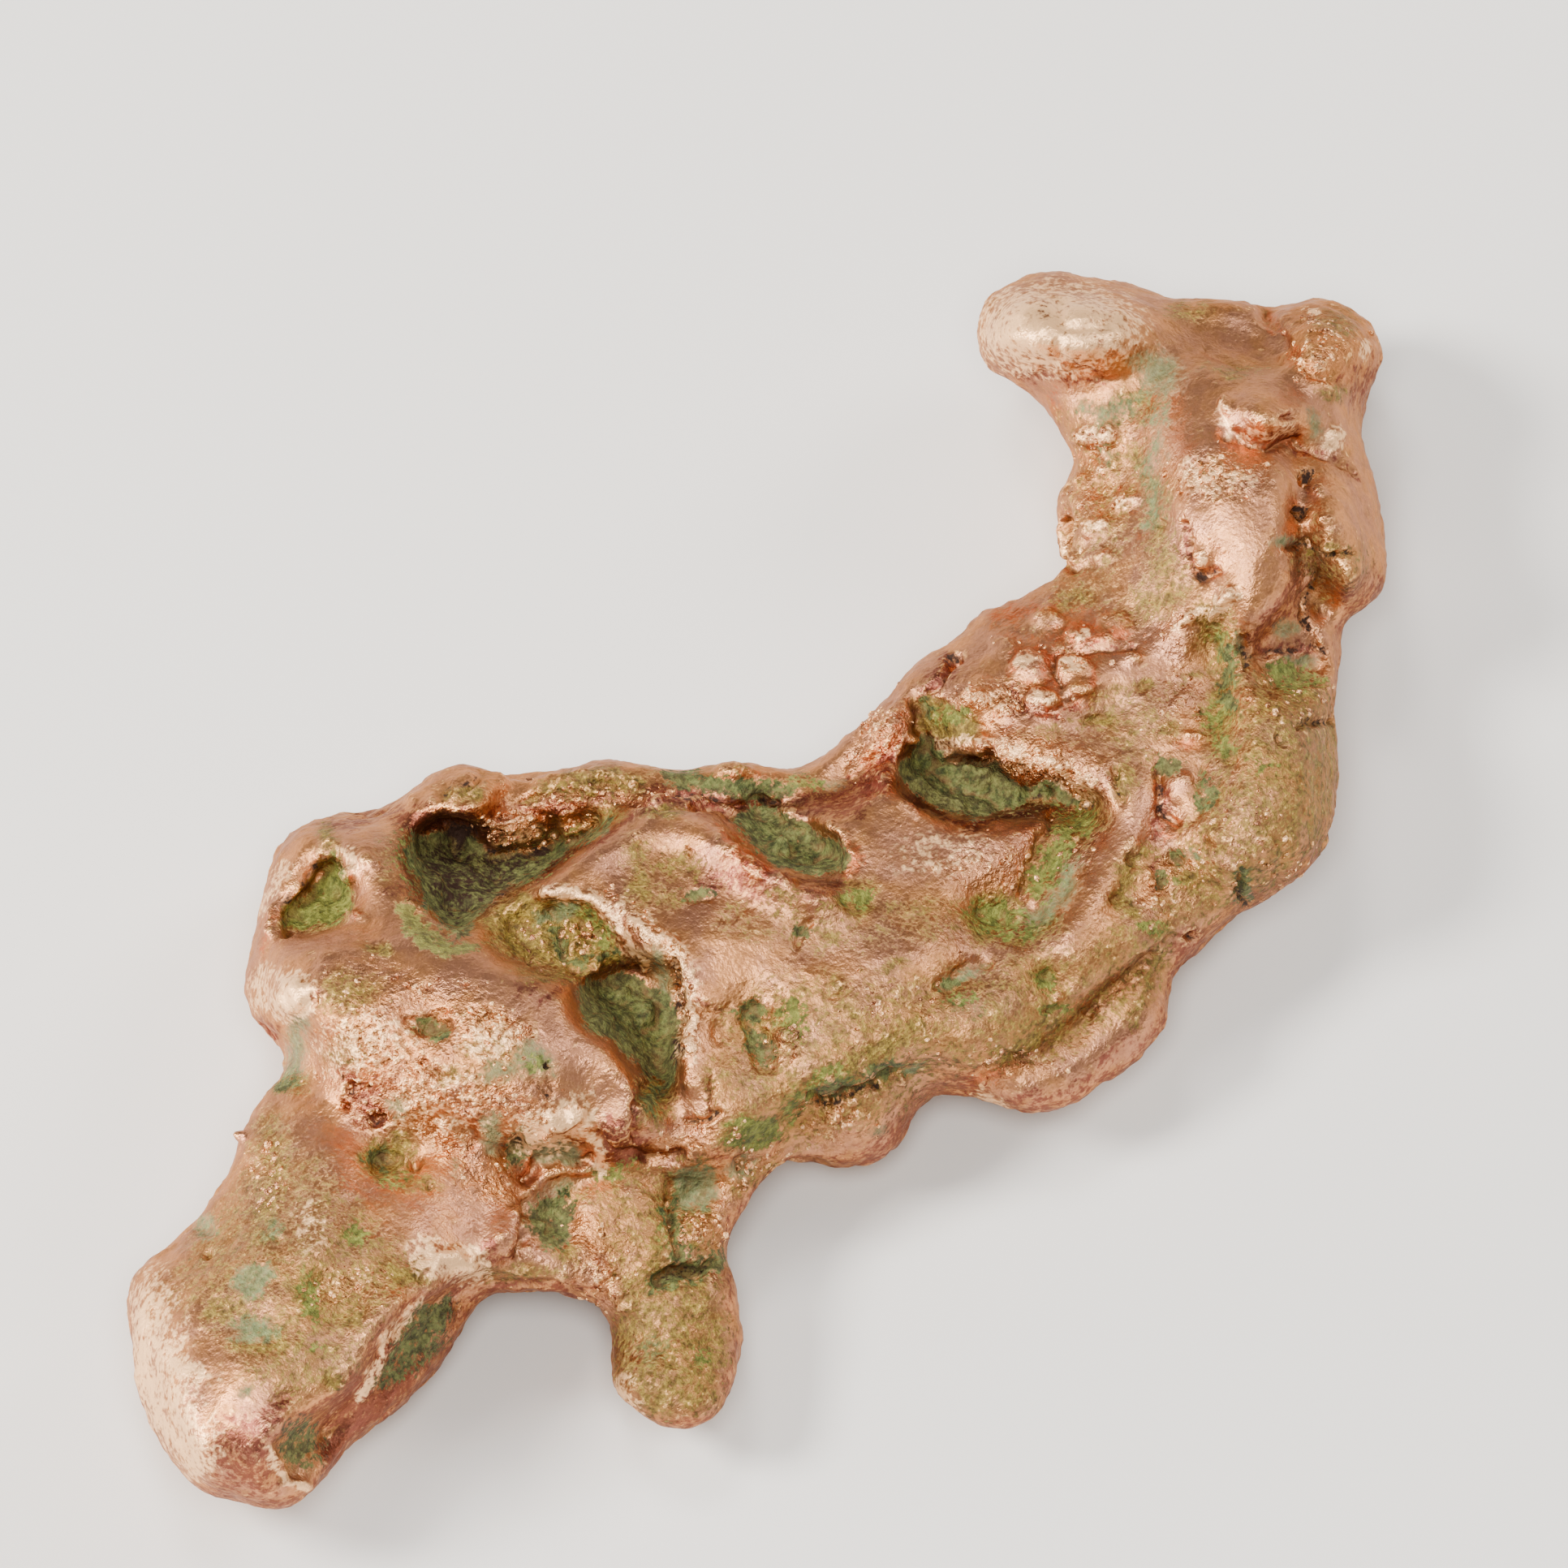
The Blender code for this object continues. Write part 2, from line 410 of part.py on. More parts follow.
def new_collection(name):
    """Add a collection to the scene."""
    collection = bpy.data.collections.new(name)
    bpy.context.scene.collection.children.link(collection)
    return collection


def new_object(name, data, collection):
    """Add an object to a collection."""
    made = bpy.data.objects.new(name, data)
    collection.objects.link(made)
    return made


def baked(source):
    """Replace an object's mesh with the mesh that its modifiers give."""
    graph = bpy.context.evaluated_depsgraph_get()
    mesh = bpy.data.meshes.new_from_object(source.evaluated_get(graph))
    source.modifiers.clear()
    source.data = mesh
    return source


def remesh(target, voxel):
    """Rebuild an object's skin as an even net of small faces."""
    skin = target.modifiers.new("skin", "REMESH")
    skin.mode = "VOXEL"
    skin.voxel_size = voxel
    return baked(target)


def outline_curve(collection):
    """Draw the outline as a filled flat curve with the slab's thickness."""
    curve = bpy.data.curves.new("outline", "CURVE")
    curve.dimensions = "2D"
    curve.fill_mode = "BOTH"
    curve.extrude = SLAB_HALF
    curve.resolution_u = 5
    spline = curve.splines.new("BEZIER")
    marks = []
    for stretch in OUTLINE:
        last = len(stretch.points) - 1
        marks += [(point, stretch.sharp_end and i == last) for i, point in enumerate(stretch.points)]
    spline.bezier_points.add(len(marks) - 1)
    for knot, (point, sharp) in zip(spline.bezier_points, marks):
        knot.co = (*point, 0.0)
        handle = "VECTOR" if sharp else "AUTO"
        knot.handle_left_type = handle
        knot.handle_right_type = handle
    spline.use_cyclic_u = True
    return new_object("outline", curve, collection)


def outline_points(outline):
    """Give the points along the drawn outline."""
    knots = outline.data.splines[0].bezier_points
    steps = outline.data.resolution_u + 1
    points = []
    for i, knot in enumerate(knots):
        following = knots[(i + 1) % len(knots)]
        run = geometry.interpolate_bezier(
            knot.co, knot.handle_right, following.handle_left, following.co, steps)
        points += [tuple(point.xy) for point in run[:-1]]
    return np.array(points)


def heights(places, forms):
    """Give the forms' heights added together at each place."""
    return sum(form.height_at(places) for form in forms)


def wander(places):
    """Shift each place a little, so that lips and ridges run unevenly."""
    shift = [noise.noise_vector((u * WARP_SCALE, v * WARP_SCALE, 4.0)) for u, v in places]
    return places + WARP_REACH * np.array(shift)[:, :2]


def sway(places, level):
    """Give the slow unevenness of a layer at each place."""
    return np.array([
        sum(height * noise.noise((u * waves, v * waves, level)) for height, waves in SWAY)
        for u, v in places])


def quarter_round(depth_in, width):
    """Give the share of the full height that a rounded edge has reached."""
    return np.sqrt(1.0 - (1.0 - np.clip(depth_in / width, 0.0, 1.0)) ** 2)


class Relief:
    """The swollen front and back of the lump over the face plane."""

    def __init__(self, outline):
        self.outline = outline

    def layers(self, places):
        """Give the front, middle and back of the lump at each place, out of the face."""
        depth_in = line_distance(places, self.outline, closed=True)
        front_round = quarter_round(depth_in, FRONT_ROUND)
        back_round = quarter_round(depth_in, BACK_ROUND)
        uneven = wander(places)
        middle_height = MID_HEIGHT + sway(places, 2.0) + heights(places, MIDDLE)
        face_height = FACE_HEIGHT + heights(places, FACE)
        under_height = UNDER_HEIGHT + sway(places, 9.0) + heights(places, UNDERSIDE)
        forms = heights(uneven, LUMPS + DISHES + HOLLOWS + RIDGES + GROOVES)
        lean = math.radians(LEAN)
        middle = (middle_height - places[:, 1] * math.sin(lean)) / math.cos(lean)
        rise = (face_height - middle_height) / math.cos(lean)
        fall = (middle_height - under_height) / math.cos(lean)
        back = middle - RIM_HALF - back_round * fall
        front = middle + RIM_HALF + front_round * rise + smooth_step(depth_in / FORM_FADE) * forms
        front = np.maximum(front, back + THINNEST * front_round + RIM_HALF)
        return {"front": front, "middle": middle, "back": back}


def swell(slab, relief):
    """Swell the flat slab to the relief's front and back."""
    count = len(slab.data.vertices)
    flat = np.empty(count * 3)
    slab.data.vertices.foreach_get("co", flat)
    flat = flat.reshape(count, 3)
    layers = relief.layers(flat[:, :2])
    middle = layers["middle"]
    share = np.clip(flat[:, 2] / SLAB_HALF, -1.0, 1.0)
    reach = np.where(share > 0.0, layers["front"] - middle, middle - layers["back"])
    flat[:, 2] = middle + reach * share
    slab.data.vertices.foreach_set("co", flat.ravel())
    slab.data.update()


def shape_eggs(lump, relief, cutters):
    """Bite the eggs out of the lump, or join them on."""
    for egg in EGGS:
        level = relief.layers(np.array([[egg.u, egg.v]]))[egg.layer][0]
        turn = Euler([math.radians(angle) for angle in egg.tilt]).to_matrix().to_4x4()
        place = Matrix.Translation((egg.u, egg.v, level + egg.rise))
        ball = bmesh.new()
        bmesh.ops.create_icosphere(ball, subdivisions=3, radius=1.0)
        ball.transform(place @ turn @ Matrix.Diagonal((*egg.size, 1.0)))
        mesh = bpy.data.meshes.new(egg.name)
        ball.to_mesh(mesh)
        ball.free()
        cutter = new_object(egg.name, mesh, cutters)
        cutter.display_type = "WIRE"
        cutter.hide_render = True
        change = lump.modifiers.new(egg.name, "BOOLEAN")
        change.operation = "UNION" if egg.adds else "DIFFERENCE"
        change.solver = "EXACT"
        change.object = cutter
    return baked(lump)


def roughen(lump):
    """Smooth the skin, then give it the uneven surface of native metal."""
    soften = lump.modifiers.new("soften", "SMOOTH")
    soften.factor = 0.5
    soften.iterations = SKIN_SMOOTHING
    baked(lump)
    moved = []
    for vertex in lump.data.vertices:
        lift = sum(height * noise.noise(vertex.co * waves) for height, waves in ROUGHNESS)
        moved.append(vertex.co + vertex.normal * lift)
    for vertex, place in zip(lump.data.vertices, moved):
        vertex.co = place
    lump.data.update()


def thin_out(lump):
    """Reduce the skin to the triangles that its forms need."""
    sift = lump.modifiers.new("thin", "DECIMATE")
    sift.decimate_type = "COLLAPSE"
    sift.ratio = min(1.0, FACE_LIMIT / sum(len(face.vertices) - 2 for face in lump.data.polygons))
    sift.use_collapse_triangulate = True
    return baked(lump)


def bounds(skin):
    """Give the lowest and highest corners of a mesh."""
    low = Vector(min(vertex.co[axis] for vertex in skin.verts) for axis in range(3))
    high = Vector(max(vertex.co[axis] for vertex in skin.verts) for axis in range(3))
    return low, high


def wear_flat(skin):
    """Cut off level what reaches below the ground."""
    everything = skin.verts[:] + skin.edges[:] + skin.faces[:]
    cut = bmesh.ops.bisect_plane(
        skin, geom=everything, plane_co=(0, 0, 0), plane_no=(0, 0, -1), clear_outer=True)
    rims = [part for part in cut["geom_cut"] if isinstance(part, bmesh.types.BMEdge)]
    bmesh.ops.holes_fill(skin, edges=rims)
    bmesh.ops.triangulate(skin, faces=skin.faces[:])


def drop_crumbs(skin):
    """Delete the small loose bits that the bites leave, and keep the lump."""
    waiting = set(skin.verts)
    islands = []
    while waiting:
        island = {waiting.pop()}
        edge = set(island)
        while edge:
            edge = {link.other_vert(vertex) for vertex in edge for link in vertex.link_edges} - island
            island |= edge
        waiting -= island
        islands.append(island)
    lump = max(islands, key=len)
    crumbs = [vertex for vertex in skin.verts if vertex not in lump]
    bmesh.ops.delete(skin, geom=crumbs, context="VERTS")


def lay_down(lump):
    """Tip the lump back on its underside, wear its low spots flat and centre it."""
    tip = Matrix.Rotation(math.radians(LEAN), 4, "X")
    turn = Matrix.Rotation(math.radians(-TURN), 4, "Z")
    skin = bmesh.new()
    skin.from_mesh(lump.data)
    skin.transform(turn @ tip)
    wear_flat(skin)
    drop_crumbs(skin)
    low, high = bounds(skin)
    shift = Vector((-(low.x + high.x) / 2, -(low.y + high.y) / 2, 0))
    print("middle of the face plane, in mm:", [round(value, 3) for value in shift])
    skin.transform(Matrix.Scale(MM, 4) @ Matrix.Translation(shift))
    bmesh.ops.recalc_face_normals(skin, faces=skin.faces[:])
    skin.to_mesh(lump.data)
    skin.free()
    lump.data.update()


def copper():
    """Make the plain copper finish."""
    material = bpy.data.materials.new("copper")
    material.use_nodes = True
    shader = material.node_tree.nodes["Principled BSDF"]
    shader.inputs["Base Color"].default_value = COPPER_COLOUR
    shader.inputs["Metallic"].default_value = 1.0
    shader.inputs["Roughness"].default_value = COPPER_ROUGHNESS
    return material


def main():
    """Build the nugget."""
    remove_everything()
    parts = new_collection("native_copper_nugget")
    cutters = new_collection("cutters")

    outline = outline_curve(cutters)
    bpy.context.view_layer.update()
    relief = Relief(outline_points(outline))

    graph = bpy.context.evaluated_depsgraph_get()
    slab_mesh = bpy.data.meshes.new_from_object(outline.evaluated_get(graph))
    bpy.data.objects.remove(outline)
    lump = new_object(NAME, slab_mesh, parts)
    weld = lump.modifiers.new("weld", "WELD")
    weld.merge_threshold = 0.0001
    baked(lump)

    remesh(lump, SLAB_VOXEL)
    swell(lump, relief)
    shape_eggs(lump, relief, cutters)
    remesh(lump, SKIN_VOXEL)
    roughen(lump)
    thin_out(lump)
    lay_down(lump)

    lump.data.materials.clear()
    lump.data.materials.append(copper())
    lump.data.shade_smooth()


main()
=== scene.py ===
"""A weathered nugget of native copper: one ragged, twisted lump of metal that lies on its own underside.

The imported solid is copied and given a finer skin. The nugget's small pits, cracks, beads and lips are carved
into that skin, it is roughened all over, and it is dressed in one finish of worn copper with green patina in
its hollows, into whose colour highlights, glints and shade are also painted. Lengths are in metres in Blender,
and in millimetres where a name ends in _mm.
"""

import functools
import itertools
import json
import logging
from collections.abc import Iterable
from dataclasses import dataclass
from enum import Enum
from typing import ClassVar

import bpy
import numpy as np
from mathutils import Matrix, Vector

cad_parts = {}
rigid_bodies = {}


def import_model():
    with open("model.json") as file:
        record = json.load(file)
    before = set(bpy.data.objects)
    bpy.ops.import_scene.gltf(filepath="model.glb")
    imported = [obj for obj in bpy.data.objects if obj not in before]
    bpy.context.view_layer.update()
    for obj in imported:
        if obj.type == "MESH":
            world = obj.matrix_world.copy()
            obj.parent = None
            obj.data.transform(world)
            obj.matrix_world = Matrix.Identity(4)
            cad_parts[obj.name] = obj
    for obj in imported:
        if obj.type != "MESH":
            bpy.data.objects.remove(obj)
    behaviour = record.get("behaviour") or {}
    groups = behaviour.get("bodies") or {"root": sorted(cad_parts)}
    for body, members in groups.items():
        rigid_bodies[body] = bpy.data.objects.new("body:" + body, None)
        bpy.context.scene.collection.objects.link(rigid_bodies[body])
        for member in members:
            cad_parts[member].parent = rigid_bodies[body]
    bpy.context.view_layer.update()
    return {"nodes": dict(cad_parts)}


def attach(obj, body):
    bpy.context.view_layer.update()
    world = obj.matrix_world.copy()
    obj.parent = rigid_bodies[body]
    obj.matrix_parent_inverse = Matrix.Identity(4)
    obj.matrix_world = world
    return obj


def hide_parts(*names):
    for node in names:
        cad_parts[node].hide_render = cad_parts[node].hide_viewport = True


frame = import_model()

NODE = "copper_nugget"
BODY = "root"
MM = 0.001
FAR = 1e9

LOG = logging.getLogger("nugget")

Points = tuple[tuple[float, float], ...]
Colour = tuple[float, float, float, float]
Socket = bpy.types.NodeSocket
Value = Socket | float | Colour
Name = int | str


def smoothstep(values: np.ndarray, low: float, high: float) -> np.ndarray:
    """Rises smoothly from 0 at low to 1 at high.

    Args:
        values: The numbers to ease.
        low: Where the result is 0.
        high: Where the result is 1.

    Returns:
        The eased numbers, from 0 to 1.
    """
    share = np.clip((values - low) / (high - low), 0.0, 1.0)
    return share * share * (3.0 - 2.0 * share)


def grain(places: np.ndarray, size: float, seed: int) -> np.ndarray:
    """Smooth random values on a lattice, the same on every run.

    Args:
        places: Points, one row each.
        size: The lattice's step, in the points' own unit.
        seed: Picks one of many patterns.

    Returns:
        One value for each point, from -1 to 1.
    """
    cell = places / size
    base = np.floor(cell).astype(np.int64)
    part = cell - base
    part = part * part * (3.0 - 2.0 * part)
    total = np.zeros(len(places))
    for corner in itertools.product((0, 1), repeat=places.shape[1]):
        key = np.full(len(places), seed * 2654435761 % 4294967291, dtype=np.int64)
        share = np.ones(len(places))
        for axis, step in enumerate(corner):
            key = (key ^ (base[:, axis] + step) * (73856093, 19349663, 83492791)[axis]) & 0xFFFFFFFF
            share = share * (part[:, axis] if step else 1.0 - part[:, axis])
        key = (key ^ (key >> 15)) * 739982445 & 0xFFFFFFFF
        key = (key ^ (key >> 12)) * 695872825 & 0xFFFFFFFF
        total += share * (((key ^ (key >> 16)) & 0xFFFF) / 32767.5 - 1.0)
    return total


def wander(spots: np.ndarray, reaches: Points, seed: int) -> np.ndarray:
    """Moves spots about a little, so that what is drawn on them gets a ragged edge.

    Args:
        spots: Rows of x and y.
        reaches: Pairs of a pattern's size and how far it moves a spot.
        seed: Picks one of many patterns.

    Returns:
        The moved spots.
    """
    moved = spots
    for turn, (size, reach) in enumerate(reaches):
        first = seed + 2 * turn
        moved = moved + reach * np.stack((grain(spots, size, first), grain(spots, size, first + 1)), axis=1)
    return moved


def relax(values: np.ndarray, edges: np.ndarray, rounds: int) -> np.ndarray:
    """Draws every corner's values half way to the mean of its neighbours', a number of times.

    Args:
        values: One row for each corner of the mesh.
        edges: Pairs of corners.
        rounds: How often.

    Returns:
        The smoothed rows.
    """
    first, second = edges[:, 0], edges[:, 1]
    count = len(values)
    neighbours = np.bincount(edges.ravel(), minlength=count)
    for _ in range(rounds):
        sums = [
            np.bincount(first, values[second, axis], count) + np.bincount(second, values[first, axis], count)
            for axis in range(values.shape[1])
        ]
        values = 0.5 * values + 0.5 * np.stack(sums, axis=1) / neighbours[:, None]
    return values


@dataclass(frozen=True)
class Sheet:
    """The flat sheet that the nugget's marks are drawn on, square on to its tilted upper face.

    It is 1932 units square with forty units to a millimetre, x to the right and y down.
    """

    lean_deg: float = 28.0
    turn_deg: float = 48.0
    middle_mm: tuple[float, float, float] = (4.877, 3.396, 0.0)
    depth_mm: float = 7.0
    units_per_mm: float = 40.0
    side: float = 1932.0
    lens_mm: float = 1500.0
    sensor_mm: float = 36.0

    def turned(self) -> Matrix:
        """The turn from the sheet's own axes to the world's."""
        lean = Matrix.Rotation(np.radians(self.lean_deg), 3, "X")
        return Matrix.Rotation(-np.radians(self.turn_deg), 3, "Z") @ lean

    def outward(self) -> np.ndarray:
        """The way that the sheet faces."""
        return np.array(self.turned() @ Vector((0.0, 0.0, 1.0)))

    def distance_mm(self) -> float:
        """How far the eye is from the plane on which a unit is true."""
        return self.side / self.units_per_mm * self.lens_mm / self.sensor_mm

    def eye(self) -> Vector:
        """The place from which the sheet and the nugget's face match, in metres."""
        back = self.turned() @ Vector((0.0, 0.0, self.depth_mm + self.distance_mm()))
        return (Vector(self.middle_mm) + back) * MM

    def flatten(self, places_mm: np.ndarray) -> np.ndarray:
        """Where points of the nugget fall on the sheet.

        Args:
            places_mm: Points of the nugget in millimetres, one row each.

        Returns:
            One row of x and y for each point.
        """
        own = (places_mm - np.array(self.middle_mm)) @ np.array(self.turned())
        reach = self.distance_mm()
        scale = self.units_per_mm * reach / (reach - (own[:, 2] - self.depth_mm))
        middle = self.side / 2.0
        return np.stack((middle + own[:, 0] * scale, middle - own[:, 1] * scale), axis=1)


def gap_to_line(spots: np.ndarray, points: Points, closed: bool = False) -> np.ndarray:
    """The distance from each spot to a line of straight stretches.

    Args:
        spots: Rows of x and y.
        points: The line's corners.
        closed: Whether the last corner joins the first.

    Returns:
        One distance for each spot.
    """
    ends = points[1:] + (points[:1] if closed else ())
    nearest = np.full(len(spots), FAR)
    for start, end in zip(points, ends):
        away = spots - np.array(start)
        along = np.array(end, float) - np.array(start, float)
        share = np.clip(away @ along / (along @ along), 0.0, 1.0)
        nearest = np.minimum(nearest, np.hypot(*(away - share[:, None] * along).T))
    return nearest


@dataclass(frozen=True)
class Shape:
    """A soft mark on the sheet. The strength of a raised or sunk form is its height in millimetres."""

    strength: float

    def cover(self, spots: np.ndarray) -> np.ndarray:
        """1 in the middle, half at the rim, 0 further out."""
        raise NotImplementedError

    def lift(self, spots: np.ndarray) -> np.ndarray:
        """How far the form moves the surface at each spot, in millimetres."""
        return self.strength * np.clip(2.0 * self.cover(spots) - 1.0, 0.0, 1.0)


@dataclass(frozen=True)
class Oval(Shape):
    """An oval: its strength, its middle, its two half widths and its turn in degrees."""

    x: float
    y: float
    across: float
    down: float
    turn: float = 0.0

    def cover(self, spots: np.ndarray) -> np.ndarray:
        """1 in the middle, half at the rim, 0 further out.

        Args:
            spots: Rows of x and y.

        Returns:
            One number for each spot.
        """
        c, s = np.cos(np.radians(self.turn)), np.sin(np.radians(self.turn))
        away = spots - np.array((self.x, self.y))
        along = (away[:, 0] * c + away[:, 1] * s) / self.across
        aside = (away[:, 1] * c - away[:, 0] * s) / self.down
        return np.clip(1.0 - 0.5 * (along**2 + aside**2), 0.0, 1.0)

    def lift(self, spots: np.ndarray) -> np.ndarray:
        """How far the form moves the surface at each spot: a round dome or bowl."""
        return self.strength * smoothstep(2.0 * self.cover(spots) - 1.0, 0.0, 1.0)


@dataclass(frozen=True)
class Line(Shape):
    """A band along a line, width to each side of it."""

    width: float
    points: Points

    def cover(self, spots: np.ndarray) -> np.ndarray:
        """1 on the line, half at its width, 0 further out."""
        return np.clip(1.0 - 0.5 * gap_to_line(spots, self.points) / self.width, 0.0, 1.0)


@dataclass(frozen=True)
class Area(Shape):
    """A closed outline, with a rim that fades over so many units."""

    fade: float
    points: Points

    def cover(self, spots: np.ndarray) -> np.ndarray:
        """1 inside, half at the outline, 0 outside.

        Args:
            spots: Rows of x and y.

        Returns:
            One number for each spot.
        """
        x, y = spots.T
        inside = np.zeros(len(spots), bool)
        for (ax, ay), (bx, by) in zip(self.points, self.points[1:] + self.points[:1]):
            if ay != by:
                inside ^= ((y < ay) != (y < by)) & (x < ax + (y - ay) * (bx - ax) / (by - ay))
        gap = gap_to_line(spots, self.points, closed=True)
        return smoothstep(np.where(inside, gap, -gap), -self.fade, self.fade)


@dataclass(frozen=True)
class Shelf(Area):
    """A leaf of metal in an outline. It rises evenly from its foot to its lip, and ends there."""

    foot: tuple[float, float]
    lip: tuple[float, float]
    overshoot: float = 1.2

    def cover(self, spots: np.ndarray) -> np.ndarray:
        """Half at the foot, 1 at the lip, and falling off quickly outside the outline.

        Args:
            spots: Rows of x and y.

        Returns:
            One number for each spot.
        """
        way = np.array(self.lip) - np.array(self.foot)
        climb = np.clip((spots - np.array(self.foot)) @ way / (way @ way), 0.0, self.overshoot)
        return 0.5 + (super().cover(spots) - 0.5).clip(0.0) * climb


class Tint(Enum):
    """The marks that colour the copper, some of them painted highlight or shade. Each is stored on the skin
    under its value.
    """

    DEEP = "deep_green"
    MOSS = "moss_green"
    PALE = "pale_bloom"
    OLIVE = "olive_film"
    WINE_AND_SHADE = "wine_oxide_and_shade"
    RUST = "rust_oxide"
    AMBER = "amber_film"
    MAUVE = "mauve_rub"
    GRIME_AND_SHADE = "black_grime_and_shade"
    BURNISH_HIGHLIGHT = "burnish_highlight"
    GLITTER = "glitter"


